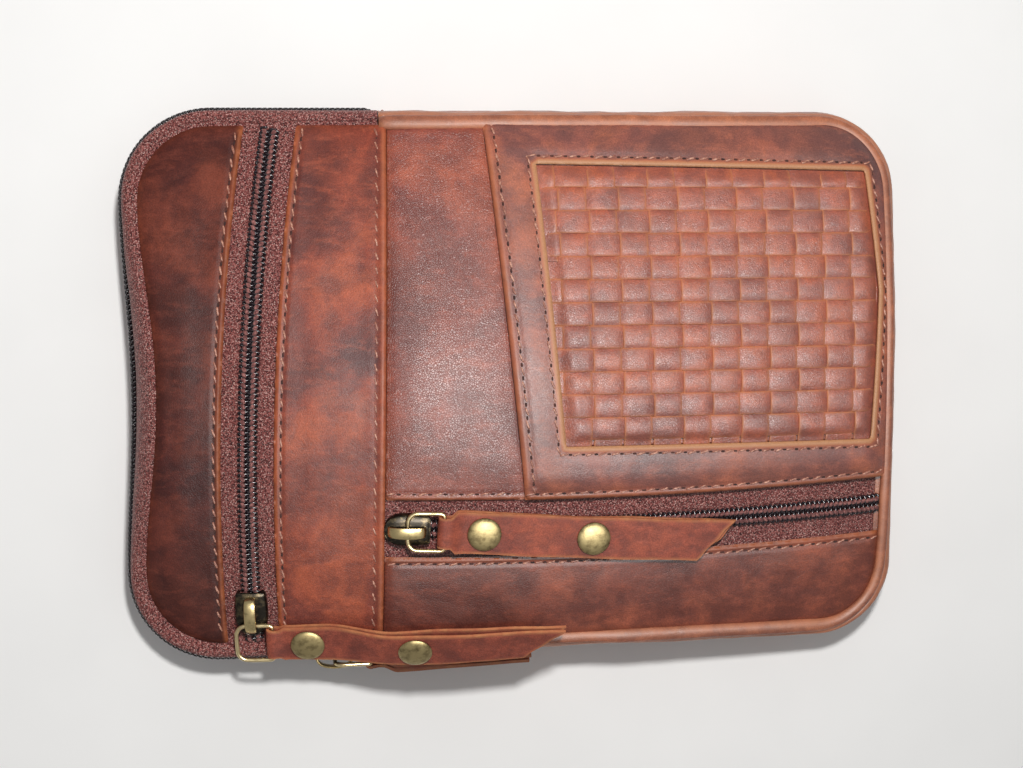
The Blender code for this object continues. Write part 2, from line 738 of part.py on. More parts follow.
def trough(name, stations, rows, place):
    """Cloth trough under a zip; place(station, offset) gives the (x, y) of each point."""
    outer, inner = [], []
    for station in stations:
        spots = [(*place(station, offset), depth) for offset, depth in rows]
        outer.append([Vector((x, y, front_z(x, y) - depth)) for x, y, depth in spots])
        inner.append([Vector((x, y, front_z(x, y) - depth - CLOTH)) for x, y, depth in spots])
    slab(name, outer, inner, "cloth")


def build_linings():
    trough("top_pocket_lining", spread(-68.0, 68.0, 12), TOP_LINING_ROWS,
           lambda y, offset: (top_track_x(y, 0) + offset, y))
    trough("side_pocket_lining", spread(-37.0, 101.0, 11), SIDE_LINING_ROWS,
           lambda x, offset: (x, pocket_track_y(x, 0) + offset))
    inner = closed_outline(lambda piece, frac: front_edge(piece, frac, -DIVIDER_INSET))
    sheet("divider_lining", clip_at_x(inner, DIVIDER_X, 1), front_offset(-DIVIDER_DEPTH),
          front_offset(-DIVIDER_DEPTH - CLOTH), "cloth", 16.0)


# ------------------------------------------------------------------ slider
# Slider frame: x towards the nose, y across, z out of the leather.
LEG_OUTER, LEG_INNER = 5.2, 4.1         # bridge legs along x
WEB_START = 2.2                         # thin web between the plates, up to LEG_OUTER
TAIL_X, NOSE_X = -6.6, 6.8
LOWER_NOSE_X = 6.1                      # nose of the lower plate
PLATE_HALF, LOWER_HALF, BRIDGE_HALF, WEB_HALF = 4.7, 3.5, 1.5, 0.25
LOWER_Z0, LOWER_Z1 = -4.1, -3.3         # lower plate
FLANGE_Z = -1.2                         # lower edge of the side flanges
UPPER_Z0, UPPER_Z1 = 0.7, 1.7           # upper plate
BRIDGE_Z0, BRIDGE_Z1 = 3.6, 4.4
SLIDER_GRID = (
    (TAIL_X, -LEG_OUTER, -LEG_INNER, -WEB_START, 0.0,
     WEB_START, LEG_INNER, LEG_OUTER, LOWER_NOSE_X, NOSE_X),
    (-PLATE_HALF, -LOWER_HALF, -BRIDGE_HALF, -WEB_HALF,
     WEB_HALF, BRIDGE_HALF, LOWER_HALF, PLATE_HALF),
    (LOWER_Z0, LOWER_Z1, FLANGE_Z, UPPER_Z0, UPPER_Z1, BRIDGE_Z0, BRIDGE_Z1),
)
# (step to the neighbouring cell, corners of the face shared with it)
CELL_FACES = (
    ((-1, 0, 0), ((0, 0, 0), (0, 0, 1), (0, 1, 1), (0, 1, 0))),
    ((1, 0, 0), ((1, 0, 0), (1, 1, 0), (1, 1, 1), (1, 0, 1))),
    ((0, -1, 0), ((0, 0, 0), (1, 0, 0), (1, 0, 1), (0, 0, 1))),
    ((0, 1, 0), ((0, 1, 0), (0, 1, 1), (1, 1, 1), (1, 1, 0))),
    ((0, 0, -1), ((0, 0, 0), (0, 1, 0), (1, 1, 0), (1, 0, 0))),
    ((0, 0, 1), ((0, 0, 1), (1, 0, 1), (1, 1, 1), (0, 1, 1))),
)


def slider_filled(x, y, z):
    """Whether the slider is solid at a cell centre."""
    if UPPER_Z0 < z < UPPER_Z1:
        return True
    if LOWER_Z0 < z < LOWER_Z1:
        return x < LOWER_NOSE_X and abs(y) < LOWER_HALF
    if FLANGE_Z < z < UPPER_Z0 and abs(y) > LOWER_HALF:
        return x < LEG_OUTER
    if LOWER_Z1 < z < UPPER_Z0 and abs(y) < WEB_HALF:
        return WEB_START < x < LEG_OUTER
    if UPPER_Z1 < z < BRIDGE_Z0 and abs(y) < BRIDGE_HALF:
        return LEG_INNER < abs(x) < LEG_OUTER
    if BRIDGE_Z0 < z < BRIDGE_Z1 and abs(y) < BRIDGE_HALF:
        return abs(x) < LEG_OUTER
    return False


def slider_warp(x, y, z):
    """Round the nose, narrow the tail, arch the bridge and ease the upper plate's rim."""
    scale = 1.0
    if x > LEG_INNER:
        k = (x - LEG_INNER) / (NOSE_X - LEG_INNER)
        scale = math.sqrt(max(0.0, 1 - k * k)) * 0.62 + 0.38
    elif x < -WEB_START:
        scale = 1 - 0.08 * (-WEB_START - x) / (-WEB_START - TAIL_X)
    if z > UPPER_Z1 + 0.1:
        scale = 1.0
        z += 0.55 * (1 - (x / LEG_OUTER) ** 2)
    elif z == UPPER_Z1 and abs(y) > LOWER_HALF + 0.1:
        z -= 0.35
        scale *= 0.97
    return Vector((x, y * scale, z))


def add_slider(name, matrix, origin):
    """Zip slider: the outer faces of the filled grid cells, warped."""
    verts, index, faces = [], {}, []

    def vertex(key):
        if key not in index:
            index[key] = len(verts)
            corner = [grid[k] for grid, k in zip(SLIDER_GRID, key)]
            verts.append(matrix @ slider_warp(*corner))
        return index[key]

    def filled(cell):
        if any(k < 0 or k >= len(grid) - 1 for grid, k in zip(SLIDER_GRID, cell)):
            return False
        return slider_filled(*[(grid[k] + grid[k + 1]) / 2 for grid, k in zip(SLIDER_GRID, cell)])

    def shifted(cell, step):
        return tuple(k + d for k, d in zip(cell, step))

    counts = [len(grid) - 1 for grid in SLIDER_GRID]
    for i in range(counts[0]):
        for j in range(counts[1]):
            for k in range(counts[2]):
                cell = (i, j, k)
                if not filled(cell):
                    continue
                for step, corners in CELL_FACES:
                    if not filled(shifted(cell, step)):
                        faces.append(tuple(vertex(shifted(cell, c)) for c in corners))
    add_object(name, verts, faces, "bronze", origin=origin)


# ------------------------------------------------------------------ pull ring
WIRE_RADIUS = 0.7
RING_HALF_WIDTH = 5.6
RING_LENGTH = 10.6          # slider end to the bar
RING_END_RADIUS = 3.0       # corners at the slider end
RING_BAR_RADIUS = 1.2       # corners at the bar
WIRE_Z = UPPER_Z1 + 0.3 + WIRE_RADIUS       # wire centre in the slider frame


def ring_path():
    """D-shaped centre line in the ring plane: x from the slider end to the bar, y across."""
    points = []
    for i in range(6):
        angle = math.pi / 2 * i / 5
        points.append((RING_END_RADIUS - RING_END_RADIUS * math.cos(angle),
                       RING_HALF_WIDTH - RING_END_RADIUS + RING_END_RADIUS * math.sin(angle)))
    for i in range(4):
        angle = math.pi / 2 * i / 3
        points.append((RING_LENGTH - RING_BAR_RADIUS + RING_BAR_RADIUS * math.sin(angle),
                       RING_HALF_WIDTH - RING_BAR_RADIUS + RING_BAR_RADIUS * math.cos(angle)))
    points += [(x, -y) for x, y in reversed(points)]
    return [Vector((x, y, 0)) for x, y in points]


def add_ring(name, matrix, origin):
    path = ring_path()
    sides = 8
    rings = []
    for i, here in enumerate(path):
        ahead = (path[(i + 1) % len(path)] - here).normalized()
        tangent = (ahead + (here - path[i - 1]).normalized()).normalized()
        # lengthen the mitre so that the wire keeps its thickness round the corners
        normal = Vector((-tangent.y, tangent.x, 0)) / max(0.5, tangent.dot(ahead))
        ring = []
        for j in range(sides):
            angle = 2 * math.pi * (j + 0.5) / sides
            ring.append(matrix @ (here + normal * (WIRE_RADIUS * math.cos(angle))
                                  + Vector((0, 0, 1)) * (WIRE_RADIUS * math.sin(angle))))
        rings.append(ring)
    loft(name, rings, "brass", closed=True, smooth=True, origin=origin)


# ------------------------------------------------------------------ puller and rivets
# Puller frame: origin on the ring bar, x along the tab, y across, z out.
PULL_WIDTH = 12.4
NECK_WIDTH = 8.9
NECK_X = 3.4                # where the neck widens to the tab
PULL_HALF_THICKNESS = 1.15
LOOP_RADIUS = 2.05
HOLE_RADIUS = 0.98
LOOP_START = 0.72           # first loop angle as a share of a quarter turn
LOOP_STEPS = 10
TAB_STEPS = 12
RIVET_RADIUS = 5.0
RIVET_SEGMENTS = 24
# (radius, height above the puller face) from the underside centre to the crown
RIVET_PROFILE = (
    (0.0, 0.12), (RIVET_RADIUS - 0.5, 0.12), (RIVET_RADIUS, 0.30), (RIVET_RADIUS, 0.55),
    (RIVET_RADIUS * 0.86, 1.05), (RIVET_RADIUS * 0.6, 1.42), (RIVET_RADIUS * 0.3, 1.62),
    (0.0, 1.70),
)


def flat(x):
    """Bend function of a straight puller."""
    return 0.0


def bend(x, y, z, lift, roll):
    """Puller point after raising the centre line by lift(x) and rolling it by roll(x)."""
    angle = roll(x)
    return Vector((x, 0, lift(x))) + Vector((0, y * math.cos(angle) - z * math.sin(angle),
                                             y * math.sin(angle) + z * math.cos(angle)))


def loop_profile():
    """Matching outer and hole points (x, z) of the loop round the bar."""
    outer = [(NECK_X, PULL_HALF_THICKNESS)]
    for i in range(1, LOOP_STEPS):
        angle = (math.pi / 2 * LOOP_START
                 + (2 * math.pi - math.pi * LOOP_START) * i / LOOP_STEPS)
        outer.append((LOOP_RADIUS * math.cos(angle), LOOP_RADIUS * math.sin(angle)))
    outer.append((NECK_X, -PULL_HALF_THICKNESS))
    hole = []
    for x, z in outer:
        angle = math.atan2(z, x)
        hole.append((HOLE_RADIUS * math.cos(angle), HOLE_RADIUS * math.sin(angle)))
    return outer, hole


def add_puller(name, matrix, lift, roll, ends, origin):
    """Folded leather tab round the ring bar; ends are its lengths at the -y and +y edges."""
    half, neck, thick = PULL_WIDTH / 2, NECK_WIDTH / 2, PULL_HALF_THICKNESS
    verts, faces, index = [], [], {}

    def vertex(x, y, z):
        key = (round(x, 4), round(y, 4), round(z, 4))
        if key not in index:
            index[key] = len(verts)
            verts.append(matrix @ bend(x, y, z, lift, roll))
        return index[key]

    def quad(*corners):
        faces.append(tuple(vertex(*corner) for corner in corners))

    def row_x(i, y):
        end = ends[0] + (ends[1] - ends[0]) * ((y + half) / (2 * half))
        k = i / TAB_STEPS
        return NECK_X + (end - NECK_X) * (k * k * 0.35 + k * 0.65)

    outer, hole = loop_profile()
    count = len(outer)
    for y in (-neck, neck):
        for i in range(count):
            j = (i + 1) % count
            quad(*[(x, y, z) for x, z in (outer[i], outer[j], hole[j], hole[i])])
    for i in range(count):
        j = (i + 1) % count
        (x0, z0), (x1, z1) = hole[i], hole[j]
        quad((x0, -neck, z0), (x0, neck, z0), (x1, neck, z1), (x1, -neck, z1))
        if j != 0:
            (x0, z0), (x1, z1) = outer[i], outer[j]
            quad((x0, -neck, z0), (x1, -neck, z1), (x1, neck, z1), (x0, neck, z0))

    columns = ((-half, -neck), (-neck, neck), (neck, half))
    for i in range(TAB_STEPS):
        for y0, y1 in columns:
            for z in (thick, -thick):
                quad((row_x(i, y0), y0, z), (row_x(i + 1, y0), y0, z),
                     (row_x(i + 1, y1), y1, z), (row_x(i, y1), y1, z))
        for y in (-half, half):
            quad((row_x(i, y), y, thick), (row_x(i + 1, y), y, thick),
                 (row_x(i + 1, y), y, -thick), (row_x(i, y), y, -thick))
    for column, (y0, y1) in enumerate(columns):
        x0, x1 = row_x(TAB_STEPS, y0), row_x(TAB_STEPS, y1)
        quad((x0, y0, thick), (x1, y1, thick), (x1, y1, -thick), (x0, y0, -thick))
        if column != 1:
            quad((NECK_X, y0, thick), (NECK_X, y1, thick),
                 (NECK_X, y1, -thick), (NECK_X, y0, -thick))
    add_object(name, verts, faces, "leather_light", origin=origin)


def add_rivet(name, matrix, lift, roll, x, origin):
    """Domed cap standing on the outer face of a puller."""
    def face_point(x, y):
        return bend(x, y, PULL_HALF_THICKNESS, lift, roll)

    centre = face_point(x, 0)
    axis_x = (face_point(x + 2, 0) - face_point(x - 2, 0)).normalized()
    axis_y = (face_point(x, 2) - face_point(x, -2)).normalized()
    normal = axis_x.cross(axis_y).normalized()
    count = RIVET_SEGMENTS
    verts = [centre + normal * RIVET_PROFILE[0][1]]
    for radius, z in RIVET_PROFILE[1:-1]:
        for i in range(count):
            angle = 2 * math.pi * i / count
            verts.append(centre + axis_x * (radius * math.cos(angle))
                         + axis_y * (radius * math.sin(angle)) + normal * z)
    verts.append(centre + normal * RIVET_PROFILE[-1][1])
    crown = len(verts) - 1
    last = crown - count        # first vertex of the last ring
    faces = []
    for i in range(count):
        j = (i + 1) % count
        faces.append((0, 1 + j, 1 + i))
        for here in range(1, last, count):
            there = here + count
            faces.append((here + i, here + j, there + j, there + i))
        faces.append((last + i, last + j, crown))
    add_object(name, [matrix @ vert for vert in verts], faces, "brass", True, origin)


# ------------------------------------------------------------------ hardware on the zips
def frame_matrix(point, axis_x, axis_y):
    """Right-handed frame from a point and its x and y axes."""
    axis_z = axis_x.cross(axis_y).normalized()
    return Matrix((axis_x, axis_y, axis_z, point)).transposed().to_4x4() \
        if False else Matrix((
            (axis_x.x, axis_y.x, axis_z.x, point.x),
            (axis_x.y, axis_y.y, axis_z.y, point.y),
            (axis_x.z, axis_y.z, axis_z.z, point.z),
            (0, 0, 0, 1)))


def add_hardware(prefix, slider, ring, puller, lift, roll, ends, rivets,
                 slider_origin, ring_origin):
    """Slider, ring, puller and rivets, each in its own frame matrix."""
    add_slider(prefix + "_zip_slider", slider, slider_origin)
    add_ring(prefix + "_zip_pull_ring", ring, ring_origin)
    bar = puller.translation
    add_puller(prefix + "_zip_puller", puller, lift, roll, ends, bar)
    for i, x in enumerate(rivets):
        add_rivet("%s_zip_puller_rivet_%d" % (prefix, i + 1), puller, lift, roll, x, bar)


POCKET_SLIDER_X = -34.8
POCKET_RING_RISE = math.radians(2.0)
POCKET_PULL_YAW = math.radians(-3.0)
POCKET_PULL_CLEARANCE = 0.45    # puller underside above the leather


def build_pocket_hardware():
    """Nose towards -X, ring and puller towards +X."""
    point, tangent, lateral, up = pocket_frame(pocket_run(POCKET_SLIDER_X))
    ring_point = point + up * WIRE_Z
    ring_x = (tangent * math.cos(POCKET_RING_RISE) + up * math.sin(POCKET_RING_RISE)).normalized()
    pull_x = (tangent * math.cos(POCKET_PULL_YAW)
              + lateral * math.sin(POCKET_PULL_YAW)).normalized()
    drop = (WIRE_Z + RING_LENGTH * math.sin(POCKET_RING_RISE)
            - (POCKET_PULL_CLEARANCE + PULL_HALF_THICKNESS))

    def lift(x):
        """Drop to the leather just past the bar, then follow its curve."""
        return -(drop * smooth_step(x, 1.5, 6.3)) - x * x / (2 * RADIUS_ALONG) - 0.012 * x

    add_hardware(
        "pocket",
        slider=frame_matrix(point, -tangent, -lateral),
        ring=frame_matrix(ring_point, ring_x, lateral),
        puller=frame_matrix(ring_point + ring_x * RING_LENGTH, pull_x,
                            up.cross(pull_x).normalized()),
        lift=lift, roll=flat, ends=(75.0, 85.5), rivets=(11.5, 43.5),
        slider_origin=POCKET_ARC_CENTRE, ring_origin=ring_point)


TOP_SLIDER_Y = -65.5
TOP_RING_TILT = math.radians(2.0)
TOP_RING_BACK = 3.1         # ring pivot behind the slider centre
TOP_RING_SHIFT = 4.5        # slider end of the ring towards -X from the pivot
TOP_PULL_DIRECTION = (1, 0.018, 0.035)
TOP_HUMP, TOP_SLOPE, TOP_SAG = 4.6, 0.075, 3.5
# (degrees gained, from x, to x)
TOP_TWISTS = ((8.0, 1.0, 4.8), (9.0, 15.5, 35.5), (5.0, 46.5, 80.0))


def top_lift(x):
    return (TOP_HUMP * smooth_step(x, 15.5, 35.5) + TOP_SLOPE * x
            - TOP_SAG * smooth_step(x, 46.0, 84.0))


def top_roll(x):
    return sum(math.radians(gain) * smooth_step(x, start, end)
               for gain, start, end in TOP_TWISTS)


def build_top_hardware():
    """Nose towards -Y, ring and puller towards +X along the right edge."""
    point, tangent, lateral, up = top_frame(top_span(TOP_SLIDER_Y))
    pivot = point - tangent * TOP_RING_BACK + up * WIRE_Z
    ring_y = (tangent * math.cos(TOP_RING_TILT) + up * math.sin(TOP_RING_TILT)).normalized()
    ring = frame_matrix(pivot - ring_y * RING_HALF_WIDTH - lateral * TOP_RING_SHIFT,
                        lateral, ring_y)
    pull_x = Vector(TOP_PULL_DIRECTION).normalized()
    pull_y = (ring_y - pull_x * ring_y.dot(pull_x)).normalized()
    add_hardware(
        "top",
        slider=frame_matrix(point, -tangent, lateral),
        ring=ring,
        puller=frame_matrix(ring @ Vector((RING_LENGTH, 0, 0)), pull_x, pull_y),
        lift=top_lift, roll=top_roll, ends=(72.5, 84.5), rivets=(10.0, 41.0),
        slider_origin=TOP_ARC_CENTRE, ring_origin=pivot)


MAIN_SLIDER_X = -56.0
MAIN_SLIDER_OUT = 2.05      # slider centre outside the chain surface
MAIN_PULL_TILT = math.radians(0.6)


def build_main_hardware():
    """On the right wall: nose towards -X, ring and puller towards +X."""
    wall, normal = wall_point(RIGHT_SIDE, side_frac(RIGHT_SIDE, MAIN_SLIDER_X), CHAIN_WALL,
                              0.0, MAIN_TAPE_INSET)
    out = Vector((0, normal.y, 0)).normalized()
    point = Vector((MAIN_SLIDER_X, wall.y + out.y * MAIN_SLIDER_OUT, CHAIN_Z))
    ring_point = point + out * WIRE_Z
    ring_x = Vector((1, 0, 0))
    ring_y = out.cross(ring_x)
    pull_x = (ring_x * math.cos(MAIN_PULL_TILT) - out * math.sin(MAIN_PULL_TILT)).normalized()
    add_hardware(
        "main",
        slider=frame_matrix(point, -ring_x, -ring_y),
        ring=frame_matrix(ring_point, ring_x, ring_y),
        puller=frame_matrix(ring_point + ring_x * RING_LENGTH, pull_x, ring_y),
        lift=flat, roll=flat, ends=(49.0, 58.0), rivets=(11.0, 42.0),
        slider_origin=point, ring_origin=ring_point)


clear_scene()
build_back()
build_wall()
pocket_base = build_front_panels()
build_slip_pocket(pocket_base)
build_front_zips()
build_linings()
build_pocket_hardware()
build_top_hardware()
build_main_hardware()
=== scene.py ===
"""Zippered leather pouch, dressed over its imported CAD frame.

The pouch lies on its back with the front face up (+Z). X runs along it: the main zip wraps the -X
end and a leather gusset wraps the +X end. Y runs across it. A second zip, "top", crosses the front
near the -X end, and a "pocket" zip runs along X near the -Y side. Lengths are in millimetres
unless noted, and meshes are scaled to metres when they are made.
"""

import math

import bmesh
import bpy
import numpy as np
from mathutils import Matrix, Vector
from mathutils.geometry import delaunay_2d_cdt


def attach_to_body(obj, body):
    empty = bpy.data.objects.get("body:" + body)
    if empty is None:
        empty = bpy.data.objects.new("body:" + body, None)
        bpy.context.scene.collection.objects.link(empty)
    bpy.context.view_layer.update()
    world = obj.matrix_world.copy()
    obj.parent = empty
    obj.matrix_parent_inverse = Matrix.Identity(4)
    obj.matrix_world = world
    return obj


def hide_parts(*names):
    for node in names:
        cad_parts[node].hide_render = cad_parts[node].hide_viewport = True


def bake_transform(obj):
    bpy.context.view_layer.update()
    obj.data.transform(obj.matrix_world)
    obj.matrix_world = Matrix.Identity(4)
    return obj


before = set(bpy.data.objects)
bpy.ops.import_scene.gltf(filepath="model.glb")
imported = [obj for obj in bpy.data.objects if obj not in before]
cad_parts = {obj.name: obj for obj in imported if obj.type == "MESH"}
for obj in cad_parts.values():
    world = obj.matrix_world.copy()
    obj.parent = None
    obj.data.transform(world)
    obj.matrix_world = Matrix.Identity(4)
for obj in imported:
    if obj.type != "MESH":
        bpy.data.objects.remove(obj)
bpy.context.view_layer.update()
MM = 0.001  # metres in a millimetre
RNG = np.random.default_rng(7)

# ------------------------------------------------------------------ driving dimensions
HALF_LENGTH, HALF_WIDTH = 115.0, 80.0  # widest line of the wall, at the height of the chain
CHAIN_Z = 14.0
CHAIN_LEVEL = 0.5  # share of the wall's height
BACK_X, BACK_Y = 111.0, 76.0  # half sizes of the back
BACK_WALL_Z = 2.2
FRONT_X_LOW, FRONT_X_HIGH, FRONT_Y = -110.0, 109.0, 75.3
END_BOW = 4.5  # how far the -X end of the front bows inwards
WALL_OUT = 1.9  # the wall's edges stand this far outside the panels
# Centres of the rounded corners at the -X and +X ends.
CORNER_X_LOW, CORNER_Y_LOW = -89.0, 54.0
CORNER_X_HIGH, CORNER_Y_HIGH = 91.0, 56.0
SIDE_LENGTH = CORNER_X_HIGH - CORNER_X_LOW
# Nominal lengths of the eight outline pieces, see contour().
PIECE_LENGTHS = (180.0, 35.0, 112.0, 35.0, 180.0, 38.0, 108.0, 38.0)

# The front surface sweeps one arc along another.
R_ACROSS, R_ALONG = 270.0, 700.0
ACROSS_TILT, ALONG_TILT, ACROSS_TURN = math.radians(20.0), math.radians(25.0), math.radians(3.0)
CROWN = np.array([5.0, 0.0, 35.5])
ACROSS_DIR = np.array([math.sin(ACROSS_TURN), math.cos(ACROSS_TURN), 0.0])
ACROSS_DROP = (np.array([math.cos(ACROSS_TURN), -math.sin(ACROSS_TURN), 0.0]) * math.sin(ACROSS_TILT)
               - np.array([0, 0, 1.0]) * math.cos(ACROSS_TILT))
ALONG_DIR = np.array([1.0, 0, 0])
ALONG_DROP = np.array([0, math.sin(ALONG_TILT), -math.cos(ALONG_TILT)])

SEAM_X_PLUS, SEAM_X_MINUS = -39.2, -42.4  # cross seam at the +Y and -Y edges
SLIP_X_PLUS, SLIP_X_MINUS = -11.3, -1.0  # free edge of the slip pocket at +Y and at SLIP_Y_MINUS
SLIP_Y_MINUS = -32.0
SLIP_RISE = 1.5
TOP_TRACK_X, POCKET_TRACK_Y = -79.5, -41.5
ZIP_GAP = 7.6  # zip centre to leather edge
POCKET_GAP_PLUS, POCKET_GAP_MINUS = ZIP_GAP + 0.9, ZIP_GAP + 1.0
ZIP_END_X, TAPE_INSET = -41.0, 1.9  # ends of the main zip, and its tape inside the wall line
# Corners (x, y) of the window in the slip pocket.
WINDOW = np.array(((10.8, -17.6), (103.6, -18.0), (106.3, 26.0), (102.8, 61.6), (3.6, 63.6)))


# ------------------------------------------------------------------ surface and outlines
def unit(vector):
    vector = np.asarray(vector, float)
    return vector / max(1e-12, np.linalg.norm(vector))


def unit_rows(vectors):
    return vectors / np.maximum(1e-12, np.linalg.norm(vectors, axis=1))[:, None]


def ease(x, start, end):
    """Smooth step from 0 at start to 1 at end."""
    k = np.clip((np.asarray(x, float) - start) / (end - start), 0, 1)
    return k * k * (3 - 2 * k)


def along(arc_x):
    angle = np.asarray(arc_x, float)[..., None] / R_ALONG
    return (ALONG_DIR * (R_ALONG * np.sin(angle))
            + ALONG_DROP * (R_ALONG * (1 - np.cos(angle))))


def across(arc_y):
    angle = np.asarray(arc_y, float)[..., None] / R_ACROSS
    return (ACROSS_DIR * (R_ACROSS * np.sin(angle))
            + ACROSS_DROP * (R_ACROSS * (1 - np.cos(angle))))


def surface_arcs(x, y):
    """Arc lengths on the front surface that land on x, y."""
    x, y = np.asarray(x, float), np.asarray(y, float)
    arc_x, arc_y = x - CROWN[0], y.copy()
    for _ in range(10):
        point = CROWN + along(arc_x) + across(arc_y)
        arc_x = arc_x + (x - point[..., 0])
        arc_y = arc_y + (y - point[..., 1])
    return arc_x, arc_y


def front_z(x, y):
    arc_x, arc_y = surface_arcs(x, y)
    return (CROWN + along(arc_x) + across(arc_y))[..., 2]


TOP_ARC_X = float(surface_arcs(TOP_TRACK_X, 0.0)[0])
POCKET_ARC_Y = float(surface_arcs(20.0, POCKET_TRACK_Y)[1])


def track_frame(zip_name, arc):
    """Point, tangent, side direction and normal on the top or pocket zip track."""
    arc_x, arc_y = (TOP_ARC_X, arc) if zip_name == "top" else (arc, POCKET_ARC_Y)
    angle_x, angle_y = arc_x / R_ALONG, arc_y / R_ACROSS
    slope_x = ALONG_DIR * math.cos(angle_x) + ALONG_DROP * math.sin(angle_x)
    slope_y = ACROSS_DIR * math.cos(angle_y) + ACROSS_DROP * math.sin(angle_y)
    normal = unit(np.cross(slope_x, slope_y))
    point = CROWN + along(arc_x) + across(arc_y)
    if zip_name == "top":
        tangent = unit(slope_y)
        return point, tangent, unit(np.cross(tangent, normal)), normal
    tangent = unit(slope_x)
    return point, tangent, unit(np.cross(normal, tangent)), normal


def track_arc(zip_name, target):
    """Arc length where a track reaches a y (top) or an x (pocket)."""
    axis, reach = (1, 100.0) if zip_name == "top" else (0, 160.0)
    low, high = -reach, reach
    for _ in range(48):
        mid = (low + high) / 2
        if track_frame(zip_name, mid)[0][axis] < target:
            low = mid
        else:
            high = mid
    return low


def contour(piece, part, x_low, x_high, y_half, bow=0.0):
    """Point on a rounded outline, counter-clockwise from the -Y side.

    Pieces: 0 -Y side, 2 +X end, 4 +Y side, 6 -X end, odd ones the corners between them.
    part runs 0..1 along the piece.
    """
    if piece % 2:
        if piece < 4:
            mid_x, mid_y, radius_x = CORNER_X_HIGH, CORNER_Y_HIGH, x_high - CORNER_X_HIGH
        else:
            mid_x, mid_y, radius_x = CORNER_X_LOW, CORNER_Y_LOW, CORNER_X_LOW - x_low
        radius_y = y_half - mid_y
        if piece in (1, 7):
            mid_y = -mid_y
        angle = math.pi / 4 * (piece - 3) + math.pi / 2 * part
        return np.array([mid_x + radius_x * math.cos(angle), mid_y + radius_y * math.sin(angle)])
    if piece == 0:
        return np.array([CORNER_X_LOW + SIDE_LENGTH * part, -y_half])
    if piece == 2:
        return np.array([x_high, -CORNER_Y_HIGH + 2 * CORNER_Y_HIGH * part])
    if piece == 4:
        return np.array([CORNER_X_HIGH - SIDE_LENGTH * part, y_half])
    y = CORNER_Y_LOW - 2 * CORNER_Y_LOW * part
    k = 1 - (y / CORNER_Y_LOW) ** 2
    return np.array([x_low + bow * k * k, y])


def front_edge(piece, part, grow=0.0):
    return contour(piece, part, FRONT_X_LOW - grow, FRONT_X_HIGH + grow, FRONT_Y + grow, END_BOW)


def back_edge(piece, part, grow=0.0):
    return contour(piece, part, -BACK_X - grow, BACK_X + grow, BACK_Y + grow)


def wall_edge(piece, part, inset=0.0, bow=0.0):
    return contour(piece, part, -HALF_LENGTH + inset, HALF_LENGTH - inset, HALF_WIDTH - inset, bow)


def closed_outline(edge, grow, step):
    pts = []
    for piece, length in enumerate(PIECE_LENGTHS):
        count = max(2, int(length / step))
        pts += [edge(piece, i / count, grow) for i in range(count)]
    return np.array(pts)


def end_stations(x, plus_x_end, step=1.5):
    """Stations (piece, part) round one end, from x on the -Y side to x on the +Y side."""
    start = (x - CORNER_X_LOW) / SIDE_LENGTH
    stop = (CORNER_X_HIGH - x) / SIDE_LENGTH
    pieces, first, last = ((0, 1, 2, 3, 4), 0, 1) if plus_x_end else ((0, 7, 6, 5, 4), 1, 0)
    found = []
    for piece in pieces:
        low = start if piece == 0 else first
        high = stop if piece == 4 else last
        count = max(1, int(round(abs(high - low) * PIECE_LENGTHS[piece] / step)))
        found += [(piece, low + (high - low) * i / count) for i in range(count)]
    return found + [(4, stop)]


# ------------------------------------------------------------------ noise
def value_noise(x, y, scale, seed=0):
    """Smooth lattice noise in -1..1 on arrays."""
    x, y = np.asarray(x) / scale + 1000.0, np.asarray(y) / scale + 1000.0
    cell_x, cell_y = np.floor(x).astype(np.int64), np.floor(y).astype(np.int64)
    part_x, part_y = x - cell_x, y - cell_y
    part_x = part_x * part_x * (3 - 2 * part_x)
    part_y = part_y * part_y * (3 - 2 * part_y)

    def corner(i, j):
        n = (i * 374761393 + j * 668265263 + seed * 144269504) & 0x7FFFFFFF
        n = ((n ^ (n >> 13)) * 1274126177) & 0x7FFFFFFF
        return ((n ^ (n >> 16)) & 0xFFFF) / 32767.5 - 1.0

    near = corner(cell_x, cell_y) * (1 - part_x) + corner(cell_x + 1, cell_y) * part_x
    far = corner(cell_x, cell_y + 1) * (1 - part_x) + corner(cell_x + 1, cell_y + 1) * part_x
    return near * (1 - part_y) + far * part_y


def line_noise(arc, row, scale, seed):
    """Noise along a line; row picks the lattice row."""
    return value_noise(arc, np.full(len(arc), row), scale, seed)


def wrinkle(x, y, seed):
    """Soft undulation of slack leather."""
    return (0.42 * value_noise(x, y * 0.6, 31.0, seed) + 0.20 * value_noise(x, y, 13.0, seed + 1)
            + 0.06 * value_noise(x, y, 5.0, seed + 2))


# ------------------------------------------------------------------ mesh helpers
def add_mesh(name, verts, faces, materials, slots=None, wear_and_highlight=None, sharp=None):
    """Smooth-shaded object; sharp is the angle in degrees above which edges stay hard."""
    mesh = bpy.data.meshes.new(name)
    mesh.from_pydata([tuple(p) for p in (np.asarray(verts, float) * MM).tolist()], [], faces)
    for material in materials:
        mesh.materials.append(material)
    if slots is not None:
        mesh.polygons.foreach_set("material_index", np.asarray(slots, np.int32))
    mesh.polygons.foreach_set("use_smooth", np.full(len(mesh.polygons), True))
    if wear_and_highlight is not None:
        # Per-vertex edge value: worn edges, and on the gusset wall and roll also painted highlight.
        layer = mesh.attributes.new("wear_and_highlight", "FLOAT", "POINT")
        layer.data.foreach_set("value", np.asarray(wear_and_highlight, np.float32))
    bm = bmesh.new()
    bm.from_mesh(mesh)
    bmesh.ops.recalc_face_normals(bm, faces=bm.faces)
    bm.to_mesh(mesh)
    bm.free()
    mesh.update()
    if sharp is not None:
        mesh.set_sharp_from_angle(angle=math.radians(sharp))
    ob = bpy.data.objects.new(name, mesh)
    bpy.context.scene.collection.objects.link(ob)
    return ob


